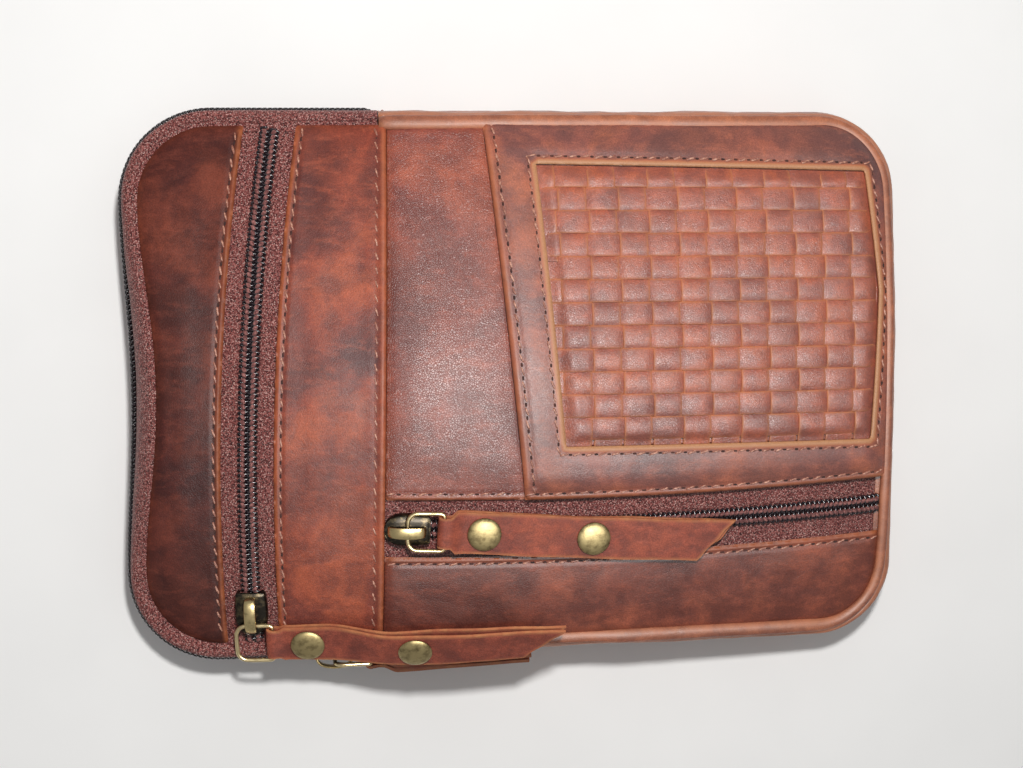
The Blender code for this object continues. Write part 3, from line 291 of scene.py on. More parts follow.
def attach(ob, body, slot_name, *replaced):
    """Tell the frame what carries the object and hide the CAD pieces it stands for. slot_name is not
    used.
    """
    if body == "fold":
        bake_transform(ob)
    else:
        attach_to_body(ob, body)
    if replaced:
        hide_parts(*replaced)


class Builder:
    """Collects many small closed shapes into one mesh."""

    def __init__(self):
        self.verts, self.faces, self.slots, self.count = [], [], [], 0

    def add(self, verts, faces, slot=0):
        self.verts.append(np.asarray(verts, float))
        self.faces += [tuple(i + self.count for i in face) for face in faces]
        self.slots += [slot] * len(faces)
        self.count += len(verts)

    def build(self, name, materials, wear_and_highlight=None, sharp=None):
        return add_mesh(name, np.concatenate(self.verts), self.faces, materials, self.slots,
                        wear_and_highlight, sharp)


def slab(name, outer, inner, material, wear_and_highlight=None, sharp=60):
    """Closed solid between two equal grids of points (m, n, 3)."""
    m, n = outer.shape[:2]
    k = m * n
    faces = []
    for flip, offset in ((False, 0), (True, k)):
        for i in range(m - 1):
            for j in range(n - 1):
                a = offset + i * n + j
                quad = (a, a + 1, a + n + 1, a + n)
                faces.append(quad[::-1] if flip else quad)
    for i in range(m - 1):
        a, b = i * n, (i + 1) * n
        faces.append((a, b, k + b, k + a))
        a, b = a + n - 1, b + n - 1
        faces.append((b, a, k + a, k + b))
    for j in range(n - 1):
        a, b = j, j + 1
        faces.append((b, a, k + a, k + b))
        a, b = (m - 1) * n + a, (m - 1) * n + b
        faces.append((a, b, k + b, k + a))
    verts = np.concatenate([outer.reshape(-1, 3), inner.reshape(-1, 3)])
    wear_and_highlight = np.zeros(k) if wear_and_highlight is None else wear_and_highlight.ravel()
    return add_mesh(name, verts, faces, [material], None, np.concatenate([wear_and_highlight, wear_and_highlight]), sharp)


def tube_faces(rings, sides):
    """Side quads and two end caps of a tube."""
    faces = []
    for i in range(rings - 1):
        for j in range(sides):
            a, b = i * sides + j, i * sides + (j + 1) % sides
            faces.append((a, b, b + sides, a + sides))
    faces.append(tuple(reversed(range(sides))))
    faces.append(tuple((rings - 1) * sides + j for j in range(sides)))
    return faces


def tube(points, up, radius, sides):
    """Tube along a polyline."""
    tangent = unit_rows(np.gradient(points, axis=0))
    side = unit_rows(np.cross(tangent, up))
    top = np.cross(side, tangent)
    angle = 2 * np.pi * (np.arange(sides) + 0.5) / sides
    verts = (points[:, None, :] + side[:, None, :] * (np.cos(angle) * radius)[None, :, None]
             + top[:, None, :] * (np.sin(angle) * radius)[None, :, None])
    return verts.reshape(-1, 3), tube_faces(len(points), sides)


def pill_template(rings=6, sides=6):
    """Rounded thread segment along x, unit length and unit radius."""
    verts, faces = [], []
    for i in range(1, rings):
        angle = math.pi * i / rings
        x, radius = -0.5 * math.cos(angle), math.sin(angle) ** 0.6
        for j in range(sides):
            turn = 2 * math.pi * j / sides
            verts.append((x, radius * math.cos(turn), radius * math.sin(turn)))
    verts += [(-0.5, 0, 0), (0.5, 0, 0)]
    for i in range(rings - 2):
        for j in range(sides):
            a, b = i * sides + j, i * sides + (j + 1) % sides
            faces.append((a, b, b + sides, a + sides))
    start, end = (rings - 1) * sides, (rings - 1) * sides + 1
    last = (rings - 2) * sides
    for j in range(sides):
        faces.append((start, (j + 1) % sides, j))
        faces.append((end, last + j, last + (j + 1) % sides))
    return np.array(verts), faces


PILL_VERTS, PILL_FACES = pill_template()


def add_pill(builder, centre, axes, size, slot=0):
    """axes are the length, width and height directions; size the three measures."""
    length, width, height = size
    verts = (centre + PILL_VERTS[:, :1] * length * axes[0]
             + PILL_VERTS[:, 1:2] * (width / 2) * axes[1]
             + PILL_VERTS[:, 2:] * (height / 2) * axes[2])
    builder.add(verts, PILL_FACES, slot)


# ------------------------------------------------------------------ polygons
def even(poly, step, closed=True):
    """Evenly spaced points along a polyline."""
    pts = np.asarray(poly, float)
    if closed:
        pts = np.vstack([pts, pts[:1]])
    arc = np.concatenate([[0], np.cumsum(np.linalg.norm(np.diff(pts, axis=0), axis=1))])
    count = max(3, int(round(arc[-1] / step)))
    places = np.linspace(0, arc[-1], count + 1)
    if closed:
        places = places[:-1]
    return np.stack([np.interp(places, arc, pts[:, k]) for k in range(pts.shape[1])], 1)


def dist_to(pts, line, closed=True):
    """Distance from points (N, 2) to a polyline (M, 2)."""
    start = np.asarray(line, float)
    end = np.roll(start, -1, 0) if closed else start[1:]
    start = start if closed else start[:-1]
    edge = end - start
    edge_sq = np.maximum(1e-12, (edge ** 2).sum(1))
    best = np.full(len(pts), 1e9)
    batch = 4000  # limits memory
    for k in range(0, len(pts), batch):
        part = pts[k:k + batch]
        foot = np.clip(((part[:, None, :] - start[None]) * edge[None]).sum(2) / edge_sq, 0, 1)
        gap = part[:, None, :] - (start[None] + edge[None] * foot[..., None])
        best[k:k + batch] = np.sqrt((gap ** 2).sum(2).min(1))
    return best


def to_line(pts, line):
    return dist_to(pts, line, closed=False)


def inside(pts, poly):
    poly = np.asarray(poly, float)
    odd = np.zeros(len(pts), bool)
    x, y = pts[:, 0], pts[:, 1]
    for i in range(len(poly)):
        (xi, yi), (xj, yj) = poly[i], poly[i - 1]
        if yi != yj:
            odd ^= ((yi > y) != (yj > y)) & (x < (xj - xi) * (y - yi) / (yj - yi) + xi)
    return odd


def cut(poly, limit, axis, keep, cut_points=60, step=0.8):
    """Part of an outline beyond the curve coordinate[axis] = limit(other coordinate).

    keep is 1 for the larger side and -1 for the smaller one.
    """
    other = 1 - axis
    dense = []
    for i, start in enumerate(poly):
        end = poly[(i + 1) % len(poly)]
        count = max(1, int(math.ceil(np.linalg.norm(end - start) / step)))
        dense += [start + (end - start) * (j / count) for j in range(count)]
    dense = np.array(dense)
    beyond = keep * (dense[:, axis] - limit(dense[:, other]))
    kept = beyond >= 0
    total = len(dense)
    begin = next(i for i in range(total) if kept[i] and not kept[i - 1])
    run, i = [], begin
    while kept[i % total] and len(run) <= total:
        run.append(dense[i % total])
        i += 1

    def crossing(a, b):
        return dense[a] + (dense[b] - dense[a]) * (beyond[a] / (beyond[a] - beyond[b]))

    first, last = crossing(begin - 1, begin), crossing((i - 1) % total, i % total)
    closing = []
    for k in range(1, cut_points):
        point = np.empty(2)
        point[other] = last[other] + (first[other] - last[other]) * (k / cut_points)
        point[axis] = float(limit(point[other]))
        closing.append(point)
    return np.array([first] + run + [last] + closing)


def inward_normals(base):
    tangent = unit_rows(np.roll(base, -1, 0) - np.roll(base, 1, 0))
    area = 0.5 * np.sum(base[:, 0] * np.roll(base[:, 1], -1) - np.roll(base[:, 0], -1) * base[:, 1])
    return np.stack([-tangent[:, 1], tangent[:, 0]], 1) * (1 if area > 0 else -1)


def grown(poly, distance):
    """Polygon with every side moved outwards."""
    middle = poly.mean(0)
    out = []
    for i, here in enumerate(poly):
        before, after = here - poly[i - 1], poly[(i + 1) % len(poly)] - here
        normal1, normal2 = unit([before[1], -before[0]]), unit([after[1], -after[0]])
        if np.dot(normal1, here - middle) < 0:
            normal1, normal2 = -normal1, -normal2
        bisector = unit(normal1 + normal2)
        out.append(here + bisector * distance / max(0.4, float(np.dot(bisector, normal1))))
    return np.array(out)


EDGE_STEP = 1.1  # point spacing on panel edges
HOLE_ROWS = (0.3, 0.7, 1.2, 1.9, 2.7, 3.6)


def panel(name, outline, height, material, body, step=1.9, holes=(),
          edge_rows=(0.35, 0.8, 1.3, 1.9, 2.6, 3.6), wear_and_highlight=None):
    """Closed sheet. height(pts) gives (top, bottom) offsets from the front surface.

    Rows of points follow the edges closely, and a triangular grid fills the rest.
    """
    border = even(outline, EDGE_STEP)
    holes = [even(hole, EDGE_STEP) for hole in holes]
    edges, total = [], 0
    for loop in [border] + holes:
        edges += [(total + i, total + (i + 1) % len(loop)) for i in range(len(loop))]
        total += len(loop)
    row_step = EDGE_STEP * 1.25
    rows = []
    base = even(border, row_step)
    normals = inward_normals(base)
    for distance in edge_rows:
        pts = base + normals * distance
        rows.append(pts[(dist_to(pts, base) > distance * 0.93) & inside(pts, base)])
    for hole in holes:
        base = even(hole, row_step)
        normals = inward_normals(base)
        for distance in HOLE_ROWS:
            pts = base - normals * distance
            rows.append(pts[(dist_to(pts, base) > distance * 0.93) & inside(pts, border)
                            & (dist_to(pts, border) > 0.5)])
    low, high = border.min(0), border.max(0)
    grid_x = np.arange(low[0], high[0], step)
    grid_y = np.arange(low[1], high[1], step * 0.87)
    mesh_x, mesh_y = np.meshgrid(grid_x, grid_y)
    mesh_x = mesh_x + (np.arange(len(grid_y)) % 2)[:, None] * step * 0.5
    grid = np.stack([mesh_x.ravel(), mesh_y.ravel()], 1)
    grid = grid[inside(grid, border)]
    grid = grid[dist_to(grid, border) > edge_rows[-1] + 0.45 * step]
    for hole in holes:
        grid = grid[~inside(grid, hole)]
        grid = grid[dist_to(grid, hole) > HOLE_ROWS[-1] + 0.45 * step]
    everything = np.concatenate([border] + holes + rows + [grid])
    points, _, triangles, _, _, _ = delaunay_2d_cdt(
        [Vector(p) for p in everything.tolist()], edges, [], 2, 1e-5)
    points = np.array([(p.x, p.y) for p in points])
    centres = np.array([points[list(face)].mean(0) for face in triangles])
    kept = inside(centres, border)
    for hole in holes:
        kept &= ~inside(centres, hole)
    top, bottom = height(points)
    surface = front_z(points[:, 0], points[:, 1])
    n = len(points)
    verts = np.concatenate([np.column_stack([points, surface + top]),
                            np.column_stack([points, surface + bottom])])
    faces, open_edges = [], {}
    for face, keep in zip(triangles, kept):
        if not keep:
            continue
        face = tuple(face)
        faces.append(face)
        faces.append(tuple(n + i for i in reversed(face)))
        for i in range(len(face)):
            edge = (face[i], face[(i + 1) % len(face)])
            key = (min(edge), max(edge))
            open_edges[key] = None if key in open_edges else edge
    for edge in open_edges.values():
        if edge is not None:
            faces.append((edge[1], edge[0], n + edge[0], n + edge[1]))
    used = np.zeros(2 * n, bool)
    for face in faces:
        used[list(face)] = True
    remap = np.cumsum(used) - 1
    faces = [tuple(int(remap[i]) for i in face) for face in faces]
    worn_and_highlit = wear_and_highlight(points) if wear_and_highlight is not None else np.zeros(n)
    ob = add_mesh(name, verts[used], faces, [material], wear_and_highlight=np.concatenate([worn_and_highlit, worn_and_highlit])[used])
    attach(ob, body, "body_leather")
    return ob


# ------------------------------------------------------------------ leather edge profiles
def folded(distance, rise, stitch=1.9, depth=0.42):
    """Height of a turned and topstitched edge at a distance from the edge."""
    k = np.clip(distance / 1.0, 0, 1)
    roll = 1.15 * np.sqrt(np.maximum(0, 1 - (1 - k) ** 2)) - 1.15
    groove = -depth * np.exp(-((distance - stitch) / 0.42) ** 2)
    return roll + rise * (1 - ease(distance, 3.0, 9.0) * 0.6) + groove


def folded_bottom(distance):
    k = np.clip(distance / 0.7, 0, 1)
    return -1.2 + 0.35 * (1 - np.sqrt(np.maximum(0, 1 - (1 - k) ** 2)))


def seam_fall(distance, depth=1.0, width=1.3):
    """Leather that dives into a sewn seam."""
    return -depth * np.exp(-(distance / width) ** 2)


def slack(pts, seed, clear, amount=0.8, fade=8):
    """Wrinkles that fade out where the clearance to an edge is small."""
    return wrinkle(pts[:, 0], pts[:, 1], seed) * amount * ease(clear, 0, fade)


def fold_wear(distance, width=1.25, amount=0.95):
    return amount * np.exp(-(distance / width) ** 4)


def rubbed(distance, amount, width=1.0):
    return amount * np.exp(-(distance / width) ** 2)


# ------------------------------------------------------------------ materials
class Shader:
    """Short helper for procedural node materials in object coordinates."""

    def __init__(self, name):
        self.material = bpy.data.materials.new(name)
        self.material.use_nodes = True
        self.tree = self.material.node_tree
        self.shader = next(n for n in self.tree.nodes if n.type == "BSDF_PRINCIPLED")
        self.place = self.tree.nodes.new("ShaderNodeTexCoord").outputs["Object"]

    def link(self, source, target):
        self.tree.links.new(source, target)

    def put(self, socket, value):
        """Link an output, or set a plain value."""
        if hasattr(value, "is_output"):
            self.link(value, socket)
            return
        if isinstance(value, (tuple, list)) and len(value) == 3 and socket.type == "RGBA":
            value = (*value, 1.0)
        socket.default_value = value

    def textured(self, kind, scale, vector=None):
        node = self.tree.nodes.new(kind)
        self.link(vector or self.place, node.inputs["Vector"])
        node.inputs["Scale"].default_value = scale
        return node

    def mapping(self, scale=(1, 1, 1), rot=(0, 0, 0)):
        node = self.textured("ShaderNodeMapping", scale)
        node.inputs["Rotation"].default_value = rot
        return node.outputs[0]

    def noise(self, scale, detail=3.0, rough=0.5, vector=None, distortion=0.0):
        node = self.textured("ShaderNodeTexNoise", scale, vector)
        node.inputs["Detail"].default_value = detail
        node.inputs["Roughness"].default_value = rough
        node.inputs["Distortion"].default_value = distortion
        return node.outputs["Fac"]

    def cell_edges(self, scale, vector):
        node = self.tree.nodes.new("ShaderNodeTexVoronoi")
        node.feature = "DISTANCE_TO_EDGE"
        self.link(vector, node.inputs["Vector"])
        node.inputs["Scale"].default_value = scale
        return node.outputs["Distance"]

    def wave(self, scale, axis, distortion):
        node = self.textured("ShaderNodeTexWave", scale)
        node.bands_direction = axis
        node.inputs["Distortion"].default_value = distortion
        return node.outputs["Fac"]

    def wear_and_highlight(self):
        # Per-vertex edge value: worn edges, and on the gusset wall and roll also painted highlight.
        node = self.tree.nodes.new("ShaderNodeAttribute")
        node.attribute_name = "wear_and_highlight"
        return node.outputs["Fac"]

    def ramp(self, factor, *stops):
        """Stops are (position, colour or grey level)."""
        node = self.tree.nodes.new("ShaderNodeValToRGB")
        self.link(factor, node.inputs[0])
        elements = node.color_ramp.elements
        while len(elements) < len(stops):
            elements.new(0.5)
        for element, (position, color) in zip(elements, stops):
            element.position = position
            element.color = (*color, 1.0) if isinstance(color, tuple) else (color,) * 3 + (1.0,)
        return node.outputs[0]

    def mix(self, factor, first, second, mode="MIX"):
        node = self.tree.nodes.new("ShaderNodeMix")
        node.data_type = "RGBA"
        node.blend_type = mode
        self.put(node.inputs[0], factor)
        self.put(node.inputs[6], first)
        self.put(node.inputs[7], second)
        return node.outputs[2]

    def math(self, operation, first, second, clamp=False):
        node = self.tree.nodes.new("ShaderNodeMath")
        node.operation = operation
        node.use_clamp = clamp
        self.put(node.inputs[0], first)
        self.put(node.inputs[1], second)
        return node.outputs[0]

    def bump(self, height, strength, distance, under=None):
        """distance is in metres; under is the normal this bump is laid over."""
        node = self.tree.nodes.new("ShaderNodeBump")
        node.inputs["Strength"].default_value = strength
        node.inputs["Distance"].default_value = distance
        self.link(height, node.inputs["Height"])
        if under is not None:
            self.link(under, node.inputs["Normal"])
        return node.outputs[0]

    def finish(self, color, rough, normal=None, metal=0.0, **inputs):
        self.put(self.shader.inputs["Base Color"], color)
        self.put(self.shader.inputs["Roughness"], rough)
        self.put(self.shader.inputs["Metallic"], metal)
        if normal is not None:
            self.put(self.shader.inputs["Normal"], normal)
        for key, value in inputs.items():
            self.put(self.shader.inputs[key.replace("_", " ")], value)
        return self.material


RAW_DARK, RAW_LIGHT = (0.30, 0.125, 0.055), (0.60, 0.30, 0.140)  # fibres on a cut edge


def leather(name, dark, mid, warm, edge, rough=0.42, blotch=30.0, coat=0.08, grain=0.22,
            edge_rough=0.6, spec=0.34):
    """Oily pull-up leather: cloudy blotches, fine pores, drag marks and lighter worn edges.

    The per-vertex edge value, up to 1, shows the edge colour: worn edges, and on the gusset wall and
    roll also a painted highlight; the part above 1 shows raw fibre.
    blotch is the scale of the clouds, grain the strength of the pores.
    """
    g = Shader(name)
    clouds = g.noise(scale=blotch, detail=5.0, rough=0.58, distortion=0.6)
    mottle = g.noise(scale=blotch * 3.7, detail=6.0, rough=0.62, distortion=0.3)
    broad = g.noise(scale=blotch * 0.55, vector=g.mapping(rot=(0.3, 0.2, 1.1)))
    streaks = g.noise(scale=130.0, detail=6.0, rough=0.72,
                      vector=g.mapping(scale=(1.0, 2.6, 1.0), rot=(0, 0, 0.62)))
    base = g.ramp(clouds, (0.39, dark), (0.5, mid), (0.61, warm))
    base = g.mix(g.ramp(broad, (0.40, 0.0), (0.70, 0.55)), base, warm)
    base = g.mix(g.ramp(mottle, (0.42, 0.55), (0.60, 0.0)), base, dark)
    pale = tuple(min(1.0, c * 1.7 + 0.01) for c in warm)
    base = g.mix(g.ramp(streaks, (0.50, 0.0), (0.72, 0.30)), base, pale)
    fleck = g.noise(scale=2600.0, detail=2.0, rough=0.6)
    base = g.mix(0.48, base, g.ramp(fleck, (0.36, 0.40), (0.66, 1.12)), "MULTIPLY")
    patches = g.ramp(g.noise(scale=260.0, detail=4.0, rough=0.6), (0.30, 0.45), (0.62, 1.0))
    worn_and_highlit = g.math("MULTIPLY", g.wear_and_highlight(), patches, clamp=True)
    raw = g.math("SUBTRACT", g.wear_and_highlight(), 1.0, clamp=True)
    base = g.mix(worn_and_highlit, base, g.mix(g.ramp(mottle, (0.4, 0.0), (0.7, 0.6)), edge, warm))
    base = g.mix(raw, base, g.mix(fleck, RAW_DARK, RAW_LIGHT))
    pores = g.cell_edges(scale=1750.0, vector=g.mapping(rot=(0.2, 0.1, 0.4)))
    pores = g.ramp(pores, (0.0, 0.0), (0.16, 1.0))
    normal = g.bump(mottle, strength=0.16, distance=0.0016)
    normal = g.bump(pores, strength=grain, distance=0.00010, under=normal)
    normal = g.bump(fleck, strength=0.35, distance=0.00012, under=normal)
    shine = g.math("ADD", g.math("MULTIPLY", mottle, 0.30), rough - 0.15)
    shine = g.math("ADD", shine, g.math("MULTIPLY", worn_and_highlit, edge_rough - rough), clamp=True)
    return g.finish(base, shine, normal, Coat_Weight=coat, Coat_Roughness=0.33,
                    Specular_IOR_Level=spec)


def knitted_tape(name):
    """Knitted tape: fine loops, pale glints on maroon yarn."""
    g = Shader(name)
    knit = g.noise(scale=1800.0, detail=1.5, rough=0.6)
    glints = g.noise(scale=2700.0, detail=1.0, rough=0.6, vector=g.mapping(rot=(0.4, 0.8, 0.2)))
    base = g.ramp(knit, (0.34, (0.036, 0.0080, 0.0085)), (0.50, (0.140, 0.031, 0.028)),
                  (0.66, (0.300, 0.100, 0.088)))
    base = g.mix(g.ramp(glints, (0.57, 0.0), (0.67, 0.8)), base, (0.60, 0.38, 0.34))
    normal = g.bump(knit, strength=0.9, distance=0.0004)
    return g.finish(base, 0.80, normal, Sheen_Weight=0.15, Sheen_Roughness=0.4,
                    Specular_IOR_Level=0.2)


def cloth(name, dark, light):
    """Woven cloth with a soft fade between two colours."""
    g = Shader(name)
    weave = g.math("MULTIPLY", g.wave(scale=520.0, axis="X", distortion=0.4),
                   g.wave(scale=520.0, axis="Y", distortion=0.4))
    fade = g.noise(scale=38.0, detail=4.0, rough=0.55)
    base = g.mix(g.ramp(fade, (0.3, 0.0), (0.7, 1.0)), dark, light)
    base = g.mix(0.35, base, g.ramp(weave, (0.1, 0.35), (0.8, 1.0)), "MULTIPLY")
    normal = g.bump(weave, strength=0.5, distance=0.0003)
    normal = g.bump(g.noise(scale=70.0, detail=4.0), strength=0.25, distance=0.003, under=normal)
    return g.finish(base, 0.88, normal, Sheen_Weight=0.2, Specular_IOR_Level=0.2)


def metal(name, bright, dull, rough, cover, scratch=0.12):
    """Tarnished metal: cover is the noise level at which the dull tone gives way."""
    g = Shader(name)
    patches = g.noise(scale=420.0, detail=5.0, rough=0.62)
    scratches = g.noise(scale=160.0, rough=0.6, vector=g.mapping(scale=(1, 9, 1), rot=(0, 0, 0.8)))
    base = g.mix(g.ramp(patches, (cover - 0.10, 1.0), (cover + 0.14, 0.0)), bright, dull)
    shine = g.math("ADD", g.math("MULTIPLY", patches, 0.22), rough - 0.1)
    normal = g.bump(scratches, strength=scratch, distance=0.0002)
    normal = g.bump(patches, strength=0.12, distance=0.0002, under=normal)
    return g.finish(base, shine, normal, metal=1.0)


def plain(name, dark, light, rough, scale=700.0, bump=0.2, spec=0.4, sheen=0.0):
    g = Shader(name)
    speckle = g.noise(scale=scale, rough=0.6)
    normal = g.bump(speckle, strength=bump, distance=0.0002)
    return g.finish(g.ramp(speckle, (0.44, dark), (0.64, light)), rough, normal,
                    Specular_IOR_Level=spec, Sheen_Weight=sheen)


BODY = leather("body_leather_look", dark=(0.100, 0.0245, 0.0215), mid=(0.258, 0.0490, 0.0285),
               warm=(0.425, 0.0920, 0.0390), edge=(0.420, 0.1150, 0.0420), rough=0.45, spec=0.28)
DARK = leather("dark_leather_look", dark=(0.037, 0.0090, 0.0084), mid=(0.088, 0.0178, 0.0138),
               warm=(0.188, 0.0405, 0.0220), edge=(0.400, 0.1150, 0.0420), rough=0.46, spec=0.20,
               coat=0.04)
BASE = leather("glossy_leather_look", dark=(0.140, 0.0330, 0.0265), mid=(0.285, 0.0620, 0.0400),
               warm=(0.410, 0.0940, 0.0470), edge=(0.420, 0.1250, 0.0480), rough=0.41, spec=0.60,
               blotch=24.0, grain=0.6)
SIDE = leather("side_leather_look", dark=(0.082, 0.0205, 0.0165), mid=(0.175, 0.0390, 0.0255),
               warm=(0.320, 0.0760, 0.0370), edge=(0.400, 0.1150, 0.0420), rough=0.45)
SLIP = leather("slip_leather_look", dark=(0.140, 0.0570, 0.0530), mid=(0.290, 0.0900, 0.0670),
               warm=(0.430, 0.1250, 0.0650), edge=(0.430, 0.1350, 0.0560), spec=0.40)
WEAVE = leather("woven_leather_look", dark=(0.250, 0.0740, 0.0540), mid=(0.385, 0.1030, 0.0670),
                warm=(0.460, 0.1150, 0.0560), edge=(0.600, 0.2300, 0.0780), rough=0.44,
                blotch=70.0, edge_rough=0.8, spec=0.70, grain=0.50)
# This leather's edge colour shows on the gusset's upper wall and roll: partly rubbed edge, partly
# painted highlight.
RIM = leather("rim_leather_look", dark=(0.200, 0.0620, 0.0370), mid=(0.360, 0.1130, 0.0580),
              warm=(0.480, 0.1600, 0.0740), edge=(0.480, 0.1850, 0.0900), blotch=48.0, coat=0.12,
              spec=0.5)
PULL = leather("puller_leather_look", dark=(0.180, 0.0440, 0.0310), mid=(0.300, 0.0670, 0.0420),
               warm=(0.400, 0.0930, 0.0510), edge=(0.520, 0.2100, 0.0900), rough=0.62,
               blotch=80.0, coat=0.0, edge_rough=0.9, spec=0.22)
# The pale end of the thread's speckle is partly the thread's own lighter fibres and partly painted
# glint.
THREAD = plain("stitch_thread_look", dark=(0.27, 0.090, 0.056), light=(0.62, 0.320, 0.225),
               rough=0.45, scale=1250.0, bump=0.8, spec=0.5, sheen=0.05)
# Needle holes: dark pills of painted shade where the thread dives into the leather.
NEEDLE_HOLE_SHADE = plain("needle_hole_shade_look", dark=(0.034, 0.0105, 0.0085), light=(0.085, 0.026, 0.018),
             rough=0.9)
TAPE = knitted_tape("zip_tape_look")
COIL = plain("zip_coil_look", dark=(0.011, 0.007, 0.010), light=(0.028, 0.018, 0.024),
             rough=0.24, scale=900.0, bump=0.1, spec=0.8)
CORD = plain("zip_sewing_thread_look", dark=(0.110, 0.026, 0.024), light=(0.330, 0.130, 0.115),
             rough=0.7, scale=1500.0, bump=0.6, spec=0.3, sheen=0.2)
LINING = cloth("lining_cloth_look", dark=(0.040, 0.018, 0.015), light=(0.062, 0.029, 0.023))
BRASS = metal("antique_brass_look", bright=(0.330, 0.262, 0.128), dull=(0.150, 0.112, 0.052),
              rough=0.46, cover=0.40)
WIRE = metal("brass_wire_look", bright=(0.62, 0.50, 0.28), dull=(0.30, 0.23, 0.11),
             rough=0.30, cover=0.30, scratch=0.05)
BRIDGE = metal("brass_bridge_look", bright=(0.56, 0.44, 0.22), dull=(0.22, 0.165, 0.08),
               rough=0.30, cover=0.34, scratch=0.05)
BRONZE = metal("dark_bronze_look", bright=(0.150, 0.115, 0.065), dull=(0.030, 0.026, 0.021),
               rough=0.36, cover=0.58)


# ------------------------------------------------------------------ outlines of the front leather
def track_table(zip_name, reach):
    """Points and side directions sampled along a zip track."""
    rows = [track_frame(zip_name, arc) for arc in np.linspace(-reach, reach, 401)]
    return np.array([row[0] for row in rows]), np.array([row[2] for row in rows])


TOP_POINTS, TOP_SIDES = track_table("top", 100)
POCKET_POINTS, POCKET_SIDES = track_table("pocket", 150)


def track_x(y, offset):
    return np.interp(y, TOP_POINTS[:, 1], TOP_POINTS[:, 0] + offset * TOP_SIDES[:, 0])


def track_y(x, offset):
    return np.interp(x, POCKET_POINTS[:, 0], POCKET_POINTS[:, 1] + offset * POCKET_SIDES[:, 1])


def seam_x(y):
    rise = SEAM_X_MINUS - SEAM_X_PLUS
    return SEAM_X_PLUS + rise * (FRONT_Y - np.asarray(y, float)) / (2 * FRONT_Y)


def slip_x(y):
    rise = SLIP_X_MINUS - SLIP_X_PLUS
    return SLIP_X_PLUS + rise * (FRONT_Y - np.asarray(y, float)) / (FRONT_Y - SLIP_Y_MINUS)


def top_edge_outer(y):
    return track_x(y, -ZIP_GAP)


def top_edge_inner(y):
    return track_x(y, ZIP_GAP)


def middle_edge(y):
    return seam_x(y) + 0.35


def right_edge(y):
    return seam_x(y) + 0.48


def pocket_edge_plus(x):
    return track_y(x, POCKET_GAP_PLUS)


def pocket_edge_minus(x):
    return track_y(x, -POCKET_GAP_MINUS)


def curve_over_y(x_of, low, high, count=240):
    y = np.linspace(low, high, count)
    return np.stack([x_of(y), y], 1)


def curve_over_x(y_of, low, high):
    x = np.linspace(low, high, 300)
    return np.stack([x, y_of(x)], 1)


FRONT_OUT = closed_outline(front_edge, 0.0, 1.5)
TOP_OUT = cut(FRONT_OUT, top_edge_outer, axis=0, keep=-1)
MIDDLE_OUT = cut(cut(FRONT_OUT, top_edge_inner, axis=0, keep=1), middle_edge, axis=0, keep=-1)
RIGHT_OUT = cut(FRONT_OUT, right_edge, axis=0, keep=1)
BASE_OUT = cut(RIGHT_OUT, pocket_edge_plus, axis=1, keep=1)
SIDE_OUT = cut(RIGHT_OUT, pocket_edge_minus, axis=1, keep=-1)
SLIP_OUT = cut(BASE_OUT, slip_x, axis=0, keep=1)

TOP_LINE_OUTER = curve_over_y(top_edge_outer, -82, 82)
TOP_LINE_INNER = curve_over_y(top_edge_inner, -82, 82)
MIDDLE_LINE = curve_over_y(middle_edge, -82, 82)
RIGHT_LINE = curve_over_y(right_edge, -82, 82)
POCKET_LINE_PLUS = curve_over_x(pocket_edge_plus, -60, 120)
POCKET_LINE_MINUS = curve_over_x(pocket_edge_minus, -60, 120)
SLIP_LINE = curve_over_y(slip_x, -60, 82)


# ------------------------------------------------------------------ the five front panels
def top_height(pts):
    fold, rim = to_line(pts, TOP_LINE_OUTER), dist_to(pts, FRONT_OUT)
    top = (folded(fold, rise=0.25) + seam_fall(rim) + slack(pts, 3, np.minimum(fold, rim))
           + 0.55 * ease(rim, 0, 9) * ease(fold, 2, 12))
    return top, folded_bottom(fold) + seam_fall(rim, depth=0.5)


def middle_height(pts):
    fold, seam = to_line(pts, TOP_LINE_INNER), to_line(pts, MIDDLE_LINE)
    rim = dist_to(pts, FRONT_OUT)
    top = (folded(fold, rise=0.25) + folded(seam, rise=0.0, stitch=2.9)
           + 0.75 * np.exp(-(seam / 4.0) ** 2) + seam_fall(rim)
           + slack(pts, 11, np.minimum.reduce([fold, seam, rim])))
    top += 0.35 * ease(rim, 0, 9) * ease(fold, 2, 12)
    return top, folded_bottom(np.minimum(fold, seam)) + seam_fall(rim, depth=0.5)


def base_height(pts):
    """Sinks a little where the slip pocket lies over it."""
    fold, seam = to_line(pts, POCKET_LINE_PLUS), to_line(pts, RIGHT_LINE)
    rim = dist_to(pts, FRONT_OUT)
    bare = ease(slip_x(pts[:, 1]) - pts[:, 0], -6.0, 4.0)
    top = (folded(fold, rise=0.2) + seam_fall(rim) + seam_fall(seam, depth=0.7, width=1.6)
           + slack(pts, 21, np.minimum.reduce([fold, seam, rim]))
           + 0.5 * bare * ease(fold, 2, 12) * ease(seam, 0, 9))
    top -= 0.35 * (1 - bare)
    return top, folded_bottom(fold) + seam_fall(rim, depth=0.5) - 0.1


def side_height(pts):
    fold, seam = to_line(pts, POCKET_LINE_MINUS), to_line(pts, RIGHT_LINE)
    rim = dist_to(pts, FRONT_OUT)
    top = (folded(fold, rise=0.25) + seam_fall(rim) + seam_fall(seam, depth=0.7, width=1.6)
           + slack(pts, 31, np.minimum.reduce([fold, seam, rim]))
           + 0.5 * ease(rim, 0, 9) * ease(fold, 2, 10))
    return top, folded_bottom(fold) + seam_fall(rim, depth=0.5)


def slip_ramp(pts):
    """0 at the sewn edges of the slip pocket, 1 where it stands clear of them."""
    return ease(np.minimum(to_line(pts, POCKET_LINE_PLUS), dist_to(pts, FRONT_OUT)), 0.0, 7.0)


